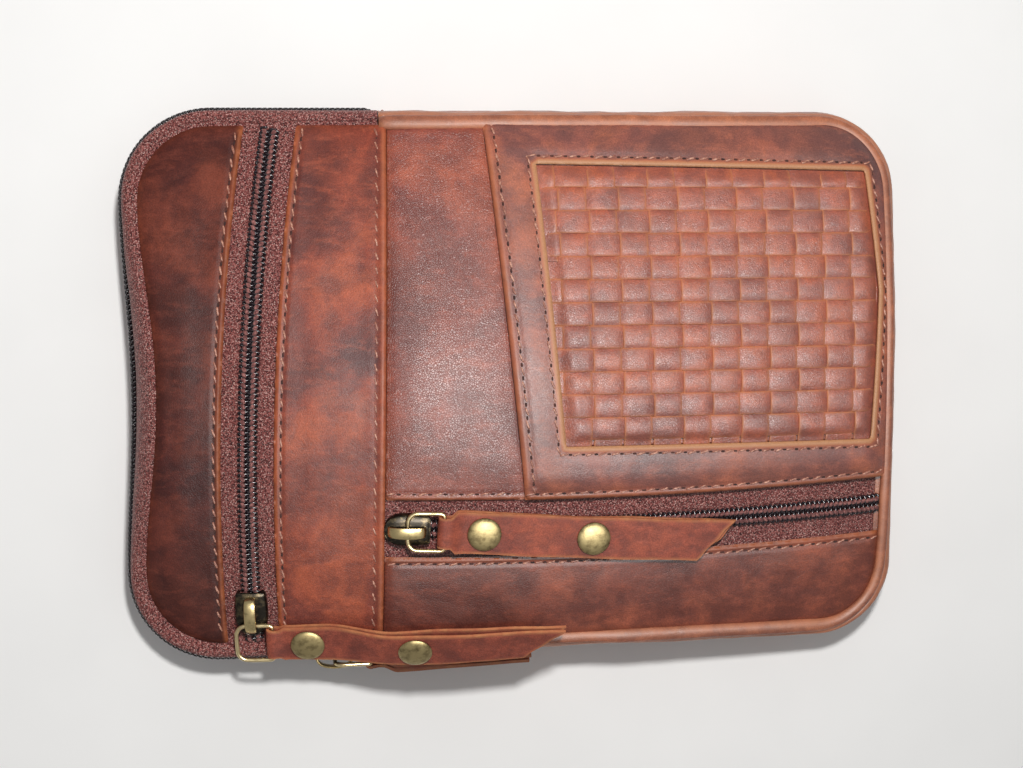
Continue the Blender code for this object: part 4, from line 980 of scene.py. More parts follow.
def slip_height(pts):
    free, fold = to_line(pts, SLIP_LINE), to_line(pts, POCKET_LINE_PLUS)
    rim, window = dist_to(pts, FRONT_OUT), dist_to(pts, WINDOW)
    low = 0.3 + SLIP_RISE * slip_ramp(pts)
    clear = np.minimum.reduce([free, fold, rim, window])
    top = (1.2 + folded(free, rise=0.15, stitch=2.6) + folded(fold, rise=0.1)
           + seam_fall(rim, depth=0.8))
    top += (-0.35 * np.exp(-((window - 2.3) / 0.5) ** 2) - 0.35 * (1 - ease(window, 0.0, 0.9))
            + slack(pts, 41, clear, amount=0.6, fade=6))
    return low + top, low


def top_wear(pts):
    return np.maximum(fold_wear(to_line(pts, TOP_LINE_OUTER)),
                      rubbed(dist_to(pts, FRONT_OUT), 0.10))


def middle_wear(pts):
    folds = np.minimum(to_line(pts, TOP_LINE_INNER), to_line(pts, MIDDLE_LINE) * 0.8)
    return np.maximum(fold_wear(folds), rubbed(dist_to(pts, FRONT_OUT), 0.12))


def base_wear(pts):
    return np.maximum(fold_wear(to_line(pts, POCKET_LINE_PLUS)),
                      rubbed(to_line(pts, RIGHT_LINE), 0.3))


def side_wear(pts):
    return np.maximum(fold_wear(to_line(pts, POCKET_LINE_MINUS)),
                      rubbed(dist_to(pts, FRONT_OUT), 0.35, width=1.2))


def slip_wear(pts):
    return np.maximum.reduce([fold_wear(to_line(pts, SLIP_LINE), width=1.5, amount=0.9),
                              fold_wear(to_line(pts, POCKET_LINE_PLUS)),
                              fold_wear(dist_to(pts, WINDOW), width=1.7, amount=2.0)])


# Name, outline, height, wear, material, body, holes, CAD pieces replaced.
PANELS = (
    ("front_top_leather", TOP_OUT, top_height, top_wear, DARK, "front_flap", (),
     ("front_top_panel",)),
    ("middle_leather", MIDDLE_OUT, middle_height, middle_wear, BODY, "fold", (),
     ("middle_panel", "middle_panel_upper")),
    ("pocket_base_leather", BASE_OUT, base_height, base_wear, BASE, "pouch", (),
     ("pocket_base_panel",)),
    ("side_leather", SIDE_OUT, side_height, side_wear, SIDE, "pouch", (), ("side_panel",)),
    ("slip_pocket_leather", SLIP_OUT, slip_height, slip_wear, SLIP, "pouch", (WINDOW,),
     ("slip_pocket_panel",)),
)
for name, outline, height, wear_and_highlight, material, body, holes, replaced in PANELS:
    ob = panel(name, outline, height, material, body, holes=holes, wear_and_highlight=wear_and_highlight)
    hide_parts(*replaced)

# ------------------------------------------------------------------ stitches
STITCH_SLANT = 0.30  # radians
STITCH_LENGTH, STITCH_WIDTH, STITCH_HEIGHT = 2.6, 0.66, 0.62
NEEDLE_LENGTH, NEEDLE_WIDTH, NEEDLE_HEIGHT = 1.25, 0.80, 0.30


def stitch_row(name, path, height, body, pitch=3.9):
    """Slanted lockstitches: each thread dives into a needle hole before the next, drawn as a dark
    pill of painted shade.
    """
    mid = even(path, pitch, closed=False)
    tangent = unit_rows(np.gradient(mid, axis=0))
    builder = Builder()
    jitter = RNG.uniform(-1, 1, (len(mid), 5))
    hole = mid + tangent * (pitch / 2)
    both = np.concatenate([mid, hole])
    z = front_z(both[:, 0], both[:, 1]) + height(both)[0]
    x, y, e = mid[:, 0], mid[:, 1], 0.4
    slope_x = (front_z(x + e, y) - front_z(x - e, y)) / (2 * e)
    slope_y = (front_z(x, y + e) - front_z(x, y - e)) / (2 * e)
    count = len(mid)
    for i in range(count):
        turn_by, longer, wider, shift, hole_wider = jitter[i]
        normal = unit([-slope_x[i], -slope_y[i], 1.0])
        turn = STITCH_SLANT + 0.10 * turn_by
        ahead_x, ahead_y = tangent[i]
        thread = np.array([ahead_x * math.cos(turn) - ahead_y * math.sin(turn),
                           ahead_x * math.sin(turn) + ahead_y * math.cos(turn), 0])
        thread = unit(thread - normal * np.dot(thread, normal))
        side = np.cross(normal, thread)
        centre = np.array([x[i], y[i], z[i]]) + side * 0.12 * shift
        add_pill(builder, centre + normal * 0.20, (thread, side, normal),
                 (STITCH_LENGTH * (1 + 0.10 * longer), STITCH_WIDTH * (1 + 0.12 * wider),
                  STITCH_HEIGHT))
        if i < count - 1:
            ahead = np.array([ahead_x, ahead_y, 0.0])
            ahead = unit(ahead - normal * np.dot(ahead, normal))
            centre = np.array([hole[i, 0], hole[i, 1], z[count + i]])
            # Dark pill of painted shade for the needle hole.
            add_pill(builder, centre + normal * 0.10, (ahead, np.cross(normal, ahead), normal),
                     (NEEDLE_LENGTH, NEEDLE_WIDTH * (1 + 0.15 * hole_wider), NEEDLE_HEIGHT), 1)
    attach(builder.build(name, [THREAD, NEEDLE_HOLE_SHADE]), body, "body_leather")


def row_over_y(x_of, low, high):
    return curve_over_y(x_of, low, high, 300)


ROW_END_Y = FRONT_Y - 2.2
# Name, path, height of the leather under it, body, pitch.
STITCH_ROWS = (
    ("front_top_stitches",
     row_over_y(lambda y: track_x(y, -ZIP_GAP - 2.0), -ROW_END_Y + 3.0, ROW_END_Y - 1.0),
     top_height, "front_flap", 3.9),
    ("middle_zip_stitches",
     row_over_y(lambda y: track_x(y, ZIP_GAP + 2.0), -ROW_END_Y, ROW_END_Y),
     middle_height, "fold", 3.9),
    ("cross_seam_stitches", row_over_y(lambda y: seam_x(y) - 2.55, -ROW_END_Y, ROW_END_Y),
     middle_height, "pouch", 3.9),
    ("base_zip_stitches",
     curve_over_x(lambda x: track_y(x, POCKET_GAP_PLUS + 1.9), -39.5, -3.4),
     base_height, "pouch", 4.4),
    ("side_zip_stitches",
     curve_over_x(lambda x: track_y(x, -POCKET_GAP_MINUS - 2.0), -39.5, FRONT_X_HIGH - 2.0),
     side_height, "pouch", 3.6),
    ("slip_edge_stitches", row_over_y(lambda y: slip_x(y) + 2.7, -30.0, ROW_END_Y),
     slip_height, "pouch", 3.9),
    ("slip_zip_stitches",
     curve_over_x(lambda x: track_y(x, POCKET_GAP_PLUS + 1.9), 0.6, FRONT_X_HIGH - 2.2),
     slip_height, "pouch", 3.9),
)
for row in STITCH_ROWS:
    stitch_row(*row)

WINDOW_STITCHES = grown(WINDOW, 2.3)
for tag, corners in (("low", (0, 1)), ("side", (1, 2, 3)), ("up", (3, 4)), ("left", (4, 0))):
    path = WINDOW_STITCHES[list(corners)].copy()
    path[0] += unit(path[1] - path[0]) * 1.3
    path[-1] -= unit(path[-1] - path[-2]) * 1.3
    stitch_row(f"window_stitches_{tag}", path, slip_height, "pouch", pitch=3.85)

# ------------------------------------------------------------------ woven patch
WEAVE_PITCH_X, WEAVE_PITCH_Y = 8.8, 6.62
WEAVE_X = WINDOW[:, 0].min() - 2.0 + 3.6
WEAVE_Y = WINDOW[1, 1] - 1.4
STRIP_THICK = 1.0
STRIP_AREA = grown(WINDOW, 1.1)
STRIP_LIMIT = grown(WINDOW, 1.6)  # strips are squeezed together beyond this line


def weave_level(x, y):
    """Middle height and swing of the weave: it dips where it runs under the window edge."""
    pts = np.stack([x, y], 1)
    depth = dist_to(pts, WINDOW) * np.where(inside(pts, WINDOW), 1.0, -1.0)
    ramp = slip_ramp(pts)
    open_part = ease(depth, -0.2, 4.2)
    low, high = SLIP_RISE * ramp - 0.45, 1.8 - SLIP_RISE * (1 - ramp) * 0.9
    return low + (high - low) * open_part, 0.12 + 0.88 * open_part


def span(poly, other, axis):
    """Reach of a closed outline along one axis at given values of the other coordinate."""
    low, high = np.full(len(other), 1e9), np.full(len(other), -1e9)
    for i, start in enumerate(poly):
        end = poly[(i + 1) % len(poly)]
        if abs(end[1 - axis] - start[1 - axis]) < 1e-9:
            continue
        part = (other - start[1 - axis]) / (end[1 - axis] - start[1 - axis])
        reach = start[axis] + (end[axis] - start[axis]) * part
        hit = (part >= 0) & (part <= 1)
        low = np.where(hit, np.minimum(low, reach), low)
        high = np.where(hit, np.maximum(high, reach), high)
    none = low > high
    return np.where(none, -1e9, low), np.where(none, 1e9, high)


def strip_profile():
    """Section of a strip: (share of half width, height, wear)."""
    shares = (-1, -0.95, -0.87, -0.74, -0.42, 0.0, 0.42, 0.74, 0.87, 0.95, 1)
    edge_wear = (1.0, 0.62, 0.22, 0.06)
    count = len(shares)
    profile = []
    for j, f in enumerate(shares):
        e = min(j, count - 1 - j)
        z = STRIP_THICK / 2 * (1 - 0.42 * f ** 10) + 0.26 * (1 - f * f)
        profile.append((f, z, edge_wear[e] if e < 4 else 0.0))
    for j in range(count):
        f = 1 - 2 * j / (count - 1)
        z = -STRIP_THICK / 2 * (1 - 0.2 * f ** 4)
        profile.append((f, z, 1.0 if j in (0, count - 1) else 0.0))
    return profile


STRIP_PROFILE = strip_profile()


def add_strip(builder, wear_and_highlight, side, origin, turn, pitch, width, start, end, seed):
    """One strip over and under its neighbours; side is the axis of its width.

    origin and turn set where it crosses over: a half wave per pitch.
    """
    count = max(8, int(np.linalg.norm(end - start) / 0.55))
    line = start + (end - start) * np.linspace(0, 1, count)[:, None]
    keep = inside(line, STRIP_AREA)
    if keep.sum() < 6:
        return
    line = line[np.argmax(keep):len(keep) - np.argmax(keep[::-1])]
    run = line[:, 1 - side]
    wave = np.cos(math.pi * (run - origin) / pitch + math.pi * turn)
    wobble = 0.12 * line_noise(run, seed * 9.0, 14.0, 5)
    low, high = span(STRIP_LIMIT, run, side)
    half = (width / 2 * (1 + 0.02 * line_noise(run, seed * 7.0, 9.0, 9))
            * (0.985 + 0.015 * wave))
    rows = []
    for share, z, edge in STRIP_PROFILE:
        xy = line.copy()
        xy[:, side] += half * share
        if side == 1:
            xy[:, 1] += wobble.mean()
        q = xy[:, side]
        xy[:, side] = np.where(q > high, high + 0.04 * (q - high),
                               np.where(q < low, low - 0.04 * (low - q), q))
        level, swing = weave_level(xy[:, 0], xy[:, 1])
        height = (level + swing * (0.50 * np.tanh(1.7 * wave) / math.tanh(1.7) + 0.20 * wave)
                  + wobble * 0.3)
        z = front_z(xy[:, 0], xy[:, 1]) + height + z * (0.45 + 0.55 * swing)
        rows.append(np.column_stack([xy, z]))
    builder.add(np.stack(rows, 1).reshape(-1, 3), tube_faces(len(line), len(rows)))
    wear_and_highlight.append(np.tile([edge for _, _, edge in STRIP_PROFILE], len(line)))


def woven_patch():
    long_strips, cross_strips, long_wear, cross_wear = Builder(), Builder(), [], []
    for j in range(-1, 13):
        x = WEAVE_X + WEAVE_PITCH_X * j
        add_strip(long_strips, long_wear, side=0, origin=WEAVE_Y, turn=j, pitch=WEAVE_PITCH_Y,
                  width=8.25, start=np.array([x + 0.5, -24.0]), end=np.array([x - 0.6, 70.0]),
                  seed=j + 3)
    for i in range(-1, 15):
        y = WEAVE_Y + WEAVE_PITCH_Y * i
        add_strip(cross_strips, cross_wear, side=1, origin=WEAVE_X, turn=i + 1,
                  pitch=WEAVE_PITCH_X, width=6.72, start=np.array([-6.0, y + 0.3]),
                  end=np.array([114.0, y - 0.3]), seed=i + 40)
    ob = long_strips.build("woven_patch_long_strips", [WEAVE], wear_and_highlight=np.concatenate(long_wear))
    attach(ob, "pouch", "woven_leather", "woven_patch")
    ob = cross_strips.build("woven_patch_cross_strips", [WEAVE], wear_and_highlight=np.concatenate(cross_wear))
    attach(ob, "pouch", "woven_leather")


woven_patch()


# ------------------------------------------------------------------ wall
class Wall:
    """The curved side wall along a run of stations."""

    def __init__(self, stations, inset=0.0):
        def edge_points(edge, *args):
            return np.array([edge(piece, part, *args) for piece, part in stations])

        count = len(stations)
        self.stations = stations
        self.mid = edge_points(wall_edge, inset, END_BOW * 0.5)
        rim = edge_points(front_edge)
        ahead = np.array([wall_edge(piece, part + 0.02) - wall_edge(piece, part - 0.02)
                          for piece, part in stations])
        self.tangent = unit_rows(np.column_stack([ahead, np.zeros(count)]))
        self.back = np.column_stack([edge_points(back_edge, WALL_OUT),
                                     np.full(count, BACK_WALL_Z)])
        self.front = np.column_stack([edge_points(front_edge, WALL_OUT),
                                      front_z(rim[:, 0], rim[:, 1]) - 0.5])
        # Control point that takes the arc through the chain line.
        self.control = (2 * np.column_stack([self.mid, np.full(count, CHAIN_Z)])
                        - (self.back + self.front) / 2)
        lengths = np.linalg.norm(np.diff(self.mid, axis=0), axis=1)
        self.arc = np.concatenate([[0], np.cumsum(lengths)])

    def at(self, level, out=0.0):
        """Points and outward normals at a level (0 back edge, 1 front edge)."""
        pts = (self.back * (1 - level) ** 2 + self.control * (2 * level * (1 - level))
               + self.front * level * level)
        rise = ((self.control - self.back) * (2 * (1 - level))
                + (self.front - self.control) * (2 * level))
        normal = unit_rows(np.cross(self.tangent, rise))
        if np.dot(normal[0][:2], self.mid[0]) < 0:
            normal = -normal
        return pts + normal * np.asarray(out, float)[..., None], normal


def hem_rows(wall, thick):
    """The wall's allowance turned in under the front leather."""
    rows = []
    # Distance outside the front outline, height over the front surface.
    for grow, lift in ((1.1, -0.75), (0.3, -1.15), (-0.7, -1.65), (-1.7, -1.95)):
        pts = np.array([front_edge(piece, part, grow) for piece, part in wall.stations])
        outer = np.column_stack([pts, front_z(pts[:, 0], pts[:, 1]) + lift])
        rows.append((outer, outer - np.array([0, 0, thick])))
    return rows


def wall_sheet(name, wall, rows, material, thick, wear_and_highlight_of=None, hem=()):
    """Closed wall slab. rows: list of (level, offset out as number or array)."""
    outer, inner, wear_and_highlight = [], [], []
    for level, out in rows:
        outer.append(wall.at(level, out)[0])
        inner.append(wall.at(level, np.asarray(out) - thick)[0])
        wear_and_highlight.append(np.full(len(wall.arc), wear_and_highlight_of(level) if wear_and_highlight_of else 0.0))
    for hem_outer, hem_inner in hem:
        outer.append(hem_outer)
        inner.append(hem_inner)
        wear_and_highlight.append(np.zeros(len(wall.arc)))
    return slab(name, np.stack(outer, 1), np.stack(inner, 1), material, np.stack(wear_and_highlight, 1))


GUSSET_STATIONS = end_stations(ZIP_END_X, plus_x_end=True)
GUSSET_WALL = Wall(GUSSET_STATIONS)
GUSSET_LEVELS = (0.0, 0.02, 0.045, 0.08, 0.12, 0.18, 0.26, 0.35, 0.44, 0.53, 0.62, 0.70, 0.76,
                 0.80, 0.84, 0.875, 0.905, 0.93, 0.95, 0.968, 0.984, 1.0)


def gusset_offset(level):
    """Soft roll below the front seam and a smaller one above the back seam."""
    arc = GUSSET_WALL.arc
    creases = (0.30 * line_noise(arc, level * 21.0, 17.0, 4)
               + 0.12 * line_noise(arc, level * 30.0, 5.0, 8))
    roll = 0.55 * math.exp(-((level - 0.87) / 0.10) ** 2) - 0.9 * float(ease(level, 0.95, 1.0))
    foot = (0.35 * math.exp(-((level - 0.10) / 0.07) ** 2)
            - 0.5 * (1 - float(ease(level, 0.0, 0.05))))
    free = float(ease(level, 0.0, 0.12)) * (1 - float(ease(level, 0.80, 0.97)))
    return (roll + foot) + creases * free * 1.3


# The upper part of the wall, up into the roll, takes the lighter edge colour: partly rubbed, partly
# painted highlight on the roll's top.
ob = wall_sheet("gusset_leather", GUSSET_WALL, [(w, gusset_offset(w)) for w in GUSSET_LEVELS], RIM,
                thick=1.4, wear_and_highlight_of=lambda level: 0.75 * float(ease(level, 0.72, 0.90)),
                hem=hem_rows(GUSSET_WALL, thick=1.0))
attach(ob, "pouch", "body_leather", "gusset_strip")


def rim_roll(sides=18):
    """The gusset leather is turned over a cord, so a soft roll stands along the front seam."""
    arc = GUSSET_WALL.arc
    sway = 0.22 * line_noise(arc, 3.0, 16.0, 21) + 0.10 * line_noise(arc, 5.0, 5.0, 22)
    lift = 0.20 * line_noise(arc, 9.0, 21.0, 23)
    verts, wear_and_highlight = [], []
    for i, (piece, part) in enumerate(GUSSET_STATIONS):
        x, y = front_edge(piece, part)
        low = (1 - float(ease(x, 18.0, 32.0))) * (1.0 if y < 0 else 0.0)  # slimmer at -Y, low X
        end = float(ease(min(arc[i], arc[-1] - arc[i]), -0.5, 3.5))  # thins out at both ends
        far = float(ease(x, 84.0, 108.0))
        half_x = (2.25 - 0.5 * low - 0.65 * far) * (0.75 + 0.25 * end)
        half_z = (1.55 - 0.75 * low - 0.35 * far) * (0.6 + 0.4 * end)
        mid_z = float(front_z(x, y)) - 0.45 - 0.25 * low + lift[i] * (1 - low)
        for j in range(sides):
            angle = 2 * math.pi * j / sides
            grow = 0.62 + 0.3 * far + sway[i] * 0.6 + half_x * math.cos(angle)
            x_out, y_out = front_edge(piece, part, grow)
            verts.append((x_out, y_out, mid_z + half_z * math.sin(angle)))
            # Lighter edge colour on the upper inner side of the roll: partly rubbed leather, partly
            # painted highlight where the roll catches the light.
            wear_and_highlight.append(0.85 * math.exp(-((angle - math.radians(118)) / 0.62) ** 2))
    builder = Builder()
    builder.add(np.array(verts), tube_faces(len(GUSSET_STATIONS), sides))
    ob = builder.build("gusset_rim_roll", [RIM], wear_and_highlight=np.array(wear_and_highlight))
    attach(ob, "pouch", "body_leather")


rim_roll()


def gusset_end_stitches(name, arc_at, low=0.08, high=0.92, count=8):
    """Stitches up the wall that hold a folded gusset end over the zip tape."""
    wall = GUSSET_WALL
    k = int(np.argmin(np.abs(wall.arc - arc_at)))
    builder = Builder()
    for i in range(count):
        level = low + (high - low) * i / (count - 1)
        pts, normals = wall.at(level, 0.14)
        point, normal = pts[k], normals[k]
        rise = unit(wall.at(level + 0.01, 0.14)[0][k] - point)
        side = np.cross(normal, rise)
        add_pill(builder, point, (rise, side, normal), (2.4, 0.72, 0.6))
        for sign in (-1, 1):
            # Dark pills of painted shade for the needle holes at both ends of the stitch.
            add_pill(builder, point + rise * sign * 1.2 - normal * 0.1, (side, rise, normal),
                     (0.9, 0.8, 0.34), 1)
    attach(builder.build(name, [THREAD, NEEDLE_HOLE_SHADE]), "pouch", "body_leather")


gusset_end_stitches("gusset_end_stitches_right", 1.9)
gusset_end_stitches("gusset_end_stitches_left", GUSSET_WALL.arc[-1] - 1.9)

# ------------------------------------------------------------------ main zip in the wall
ZIP_WALL = Wall(end_stations(ZIP_END_X - 0.3, plus_x_end=False), TAPE_INSET)
TAPE_THICK = 0.6
BACK_TAPE_TOP, BACK_TAPE_ROWS = 0.47, 10
# Level on the wall and offset outwards: the front tape bulges.
FRONT_TAPE = ((0.53, 0.10), (0.545, 0.65), (0.56, 1.08), (0.58, 1.42), (0.61, 1.72),
              (0.65, 1.93), (0.70, 2.06), (0.75, 2.10), (0.80, 2.02), (0.85, 1.80),
              (0.89, 1.46), (0.93, 1.03), (0.965, 0.56), (1.0, 0.05))


def front_tape_row(level, out):
    sway = 0.16 * line_noise(ZIP_WALL.arc, level * 30.0, 11.0, 17)
    return level, out + sway * math.sin(math.pi * min(1.0, (level - 0.53) / 0.47))


ob = wall_sheet("main_zip_back_tape_knit", ZIP_WALL,
                [(BACK_TAPE_TOP * i / BACK_TAPE_ROWS,
                  0.12 * line_noise(ZIP_WALL.arc, i * 3.0, 9.0, 17))
                 for i in range(BACK_TAPE_ROWS + 1)], TAPE, TAPE_THICK)
attach(ob, "pouch", "zip_tape", "main_zip_back_tape")
ob = wall_sheet("main_zip_front_tape_knit", ZIP_WALL, [front_tape_row(*row) for row in FRONT_TAPE],
                TAPE, TAPE_THICK, hem=hem_rows(ZIP_WALL, thick=0.6))
attach(ob, "fold", "zip_tape", "main_zip_front_tape", "main_zip_front_tape_end_left",
       "main_zip_front_tape_end_right")

COIL_PITCH = 1.5
COIL_CENTRE, COIL_HALF_WIDTH, COIL_HALF_HEIGHT = 1.25, 1.45, 0.52
COIL_WIRE_R = 0.30
COIL_STEPS = 14  # points per turn


def coil_row(name, chain, side, height, body, corded, *replaced):
    """Nylon coil beside the chain line, with a small bead across each turn.

    chain holds points, tangents, side directions and normals. corded beads are sewing thread.
    """
    points, tangents, sides, normals = chain
    arc = np.concatenate([[0], np.cumsum(np.linalg.norm(np.diff(points, axis=0), axis=1))])
    total = arc[-1]
    places = np.linspace(0.4, total - 0.4, int(total / COIL_PITCH) * COIL_STEPS)
    angle = 2 * math.pi * (places / COIL_PITCH + (0.0 if side > 0 else 0.5))

    def sample(values, where):
        return np.stack([np.interp(where, arc, values[:, k]) for k in range(3)], 1)

    up = sample(normals, places)
    out = side * (COIL_CENTRE + COIL_HALF_WIDTH * np.cos(angle))
    lift = height + COIL_HALF_HEIGHT * np.sin(angle)
    path = (sample(points, places) + sample(sides, places) * out[:, None] + up * lift[:, None]
            + sample(tangents, places) * (0.10 * np.sin(2 * angle))[:, None])
    builder = Builder()
    builder.add(*tube(path, up, COIL_WIRE_R, 6))
    size, slot = ((1.60, 1.42, 0.74), 1) if corded else ((1.60, 1.1, 0.4), 0)
    for i in range(int(total / COIL_PITCH) - 1):
        where = np.array([(i + 0.75) * COIL_PITCH])
        centre, ahead, beside, above = (sample(values, where)[0] for values in chain)
        centre = centre + beside * side * 1.32 + above * (height + COIL_HALF_HEIGHT + 0.20)
        add_pill(builder, centre, (unit(ahead + 0.35 * beside * side), beside, above), size, slot)
    attach(builder.build(name, [COIL, CORD]), body, "zip_coil", *replaced)


def main_zip_coils():
    points, normals = ZIP_WALL.at(CHAIN_LEVEL)
    upward = np.tile([0, 0, 1.0], (len(points), 1))
    keep = (ZIP_WALL.arc > 1.0) & (ZIP_WALL.arc < ZIP_WALL.arc[-1] - 1.0)
    chain = [values[keep] for values in (points, ZIP_WALL.tangent, upward, normals)]
    coil_row("main_zip_back_teeth", chain, -1, 1.85, "pouch", False, "main_zip_back_coil")
    coil_row("main_zip_front_teeth", chain, 1, 1.85, "fold", False, "main_zip_front_coil",
             "main_zip_front_coil_end_left", "main_zip_front_coil_end_right")


main_zip_coils()

# ------------------------------------------------------------------ zips on the front
TAPE_COLUMNS = (0.45, 1.2, 2.2, 3.0, 3.7, 4.5, 5.4, 6.4, 7.6, 9.0, 11.0, 13.0)  # from the centre


def front_zip(zip_name, arcs, tags, body):
    """Both tapes and coils; tags pair a half's name with its side of the track."""
    chain = [np.array(values) for values in zip(*(track_frame(zip_name, arc) for arc in arcs))]
    points, _, sides, normals = chain
    # The zip sinks at the last stations of its run; the top zip sinks at both ends.
    sink = np.maximum(0.0, 4.0 - np.arange(len(arcs))[::-1]) / 4.0
    if zip_name == "top":
        sink = np.maximum(sink, sink[::-1])
    points = points - normals * (0.75 * sink)[:, None]
    chain[0] = points
    arc = np.arange(len(arcs)) * 1.4
    for tag, side in tags:
        outer = []
        for column in TAPE_COLUMNS:
            z = (-1.9 + 0.30 * math.exp(-((column - 3.5) / 0.55) ** 2)
                 + 0.10 * line_noise(arc, column * 2.0, 6.0, 3))
            outer.append(points + sides * (side * column) + normals * z[:, None])
        inner = [row - normals * 0.55 for row in outer]
        name = f"{zip_name}_zip_{tag}"
        ob = slab(f"{name}_tape_knit", np.stack(outer, 1), np.stack(inner, 1), TAPE)
        attach(ob, body, "zip_tape", f"{name}_tape")
        coil_row(f"{name}_teeth", chain, side, -0.62, body, True, f"{name}_coil")


front_zip("top", np.linspace(track_arc("top", -75.4), track_arc("top", 75.4), 116),
          (("outer", -1), ("inner", 1)), "front_flap")
front_zip("pocket", np.linspace(track_arc("pocket", float(seam_x(POCKET_TRACK_Y)) - 1.6),
                                track_arc("pocket", FRONT_X_HIGH + 0.9), 112),
          (("lower", -1), ("upper", 1)), "pouch")


# ------------------------------------------------------------------ pullers
def level_lift(x):
    return 0 * x


def pocket_lift(x):
    return -(1.47 * ease(x, 1.5, 6.3)) - x * x / 1400 - 0.012 * x


def top_lift(x):
    return 4.6 * ease(x, 15.5, 35.5) + 0.075 * x - 3.5 * ease(x, 46.0, 84.0)


def top_roll(x):
    return np.radians(8.0 * ease(x, 1.0, 4.8) + 9.0 * ease(x, 15.5, 35.5)
                      + 5.0 * ease(x, 46.5, 80.0))


def main_roll(x):
    return np.radians(2.0 * ease(x, 1.5, 7.0))


# Origin at the ring wire and axes of each strap, with lift and roll (radians) along it. The cut
# end runs slanted from short_end to long_end. splay parts the two layers, and cup curls one edge.
PULLERS = {
    "pocket": dict(origin=(-24.385, -41.816, 35.067), x_axis=(0.996271, -0.075119, 0.04245),
                   y_axis=(0.068087, 0.986643, 0.147989), lift=pocket_lift, roll=level_lift,
                   long_end=85.5, short_end=75.0),
    "top": dict(origin=(-73.931, -74.507, 23.913), x_axis=(0.999226, 0.017986, 0.034973),
                y_axis=(-0.026751, 0.96271, 0.269209), lift=top_lift, roll=top_roll,
                long_end=84.5, short_end=72.5, splay=1.15, half_width=5.45),
    "main": dict(origin=(-45.4, -82.85, 14.0), x_axis=(0.999945, 0.010472, 0.0),
                 y_axis=(0.0, 0.0, 1.0), lift=level_lift, roll=main_roll,
                 long_end=47.3, short_end=46.9, splay=0.35, cup=1.5),
}
LOOP_R, LOOP_GAP = 1.515, math.radians(64)  # loop round the wire, and its open half angle
LOOP_HALF_WIDTH = 4.45
LAYER_THICK, LAYER_Z = 1.06, 0.60
PINCH_X = 3.9  # where the two layers have come together
STRAP_STEPS, LOOP_STEPS, STRAP_COLUMNS = 74, 16, 13


def puller(prefix, seed, origin, x_axis, y_axis, lift, roll, long_end, short_end, splay=0.0,
           half_width=6.2, cup=0.0):
    """Strap folded round the ring: in along the upper layer, round the wire, out below."""
    x_axis, y_axis = unit(x_axis), unit(y_axis)
    z_axis = np.cross(x_axis, y_axis)
    start_x, start_z = LOOP_R * math.cos(LOOP_GAP), LOOP_R * math.sin(LOOP_GAP)

    def loop_point(part):
        """x, z, normal and half width round the wire."""
        angle = LOOP_GAP + (2 * math.pi - 2 * LOOP_GAP) * part
        cos, sin = math.cos(angle), math.sin(angle)
        return LOOP_R * cos, LOOP_R * sin, cos, sin, LOOP_HALF_WIDTH

    def layer_point(sign, part, y):
        """The same on the upper (sign 1) or lower (-1) layer."""
        lower = sign < 0
        end_x = short_end + (long_end - short_end) * (y + 1) / 2 + 0.25 * math.sin(7 * y + seed)
        if lower:
            end_x += 0.8 + 0.5 * math.sin(3 * y + seed)
        x = start_x + (end_x - start_x) * part ** 1.25
        k = float(ease(x, start_x, PINCH_X))
        z = sign * (start_z * (1 - k) + LAYER_Z * k)
        slope = 0.0
        if start_x < x < PINCH_X:
            run = PINCH_X - start_x
            share = (x - start_x) / run
            slope = -sign * (start_z - LAYER_Z) / run * 6 * share * (1 - share)
        norm = math.hypot(slope, 1)
        width = LOOP_HALF_WIDTH + (half_width - LOOP_HALF_WIDTH) * float(ease(x, 1.6, 3.4))
        if lower:
            width += 0.22 * math.sin(x * 0.11 + seed)
            z += (0.10 * math.sin(x * 0.31 + seed) * k
                  - splay * float(ease(x, 5.0, 22.0)) * (0.75 + 0.25 * math.sin(x * 0.13 + 1.0)))
        width += 0.10 * math.sin(x * 0.23 + seed * 2)
        return x, z, -slope / norm * sign, sign / norm, width

    # Sign 1 is the upper layer, 0 the loop, -1 the lower layer.
    path = [(1, 1 - i / STRAP_STEPS) for i in range(STRAP_STEPS + 1)]
    path += [(0, i / LOOP_STEPS) for i in range(1, LOOP_STEPS)]
    path += [(-1, i / STRAP_STEPS) for i in range(STRAP_STEPS + 1)]
    columns = np.linspace(-1, 1, STRAP_COLUMNS)
    shape = (len(path), STRAP_COLUMNS)
    outer, inner, wear_and_highlight = np.empty(shape + (3,)), np.empty(shape + (3,)), np.zeros(shape)
    for i, (sign, part) in enumerate(path):
        for j, y in enumerate(columns):
            x, z, normal_x, normal_z, width = layer_point(sign, part, y) if sign else loop_point(part)
            half = LAYER_THICK / 2 * (1 - 0.22 * abs(y) ** 6)
            outer[i, j] = (x + normal_x * half, y * width, z + normal_z * half)
            inner[i, j] = (x - normal_x * half, y * width, z - normal_z * half)
            if abs(y) > 0.999 or (sign and part > 0.997):
                wear_and_highlight[i, j] = 1.0

    def place(pts):
        x, y = pts[..., 0], pts[..., 1]
        turn = roll(x)
        curl = (np.clip((y - 3.4) / 2.8, 0, None) ** 2 * ease(x, 3.0, 8.0)
                * (1 - 0.6 * ease(x, 14.0, 44.0)))
        height = pts[..., 2] + cup * curl
        y_turned = y * np.cos(turn) - height * np.sin(turn)
        z_turned = y * np.sin(turn) + height * np.cos(turn) + lift(x)
        return (np.array(origin) + x_axis * x[..., None] + y_axis * y_turned[..., None]
                + z_axis * z_turned[..., None])

    ob = slab(f"{prefix}_zip_puller_leather", place(outer), place(inner), PULL, wear_and_highlight, sharp=50)
    attach(ob, f"{prefix}_puller", "puller_leather", f"{prefix}_zip_puller")


for seed, (prefix, settings) in enumerate(PULLERS.items(), 1):
    puller(prefix, seed, **settings)


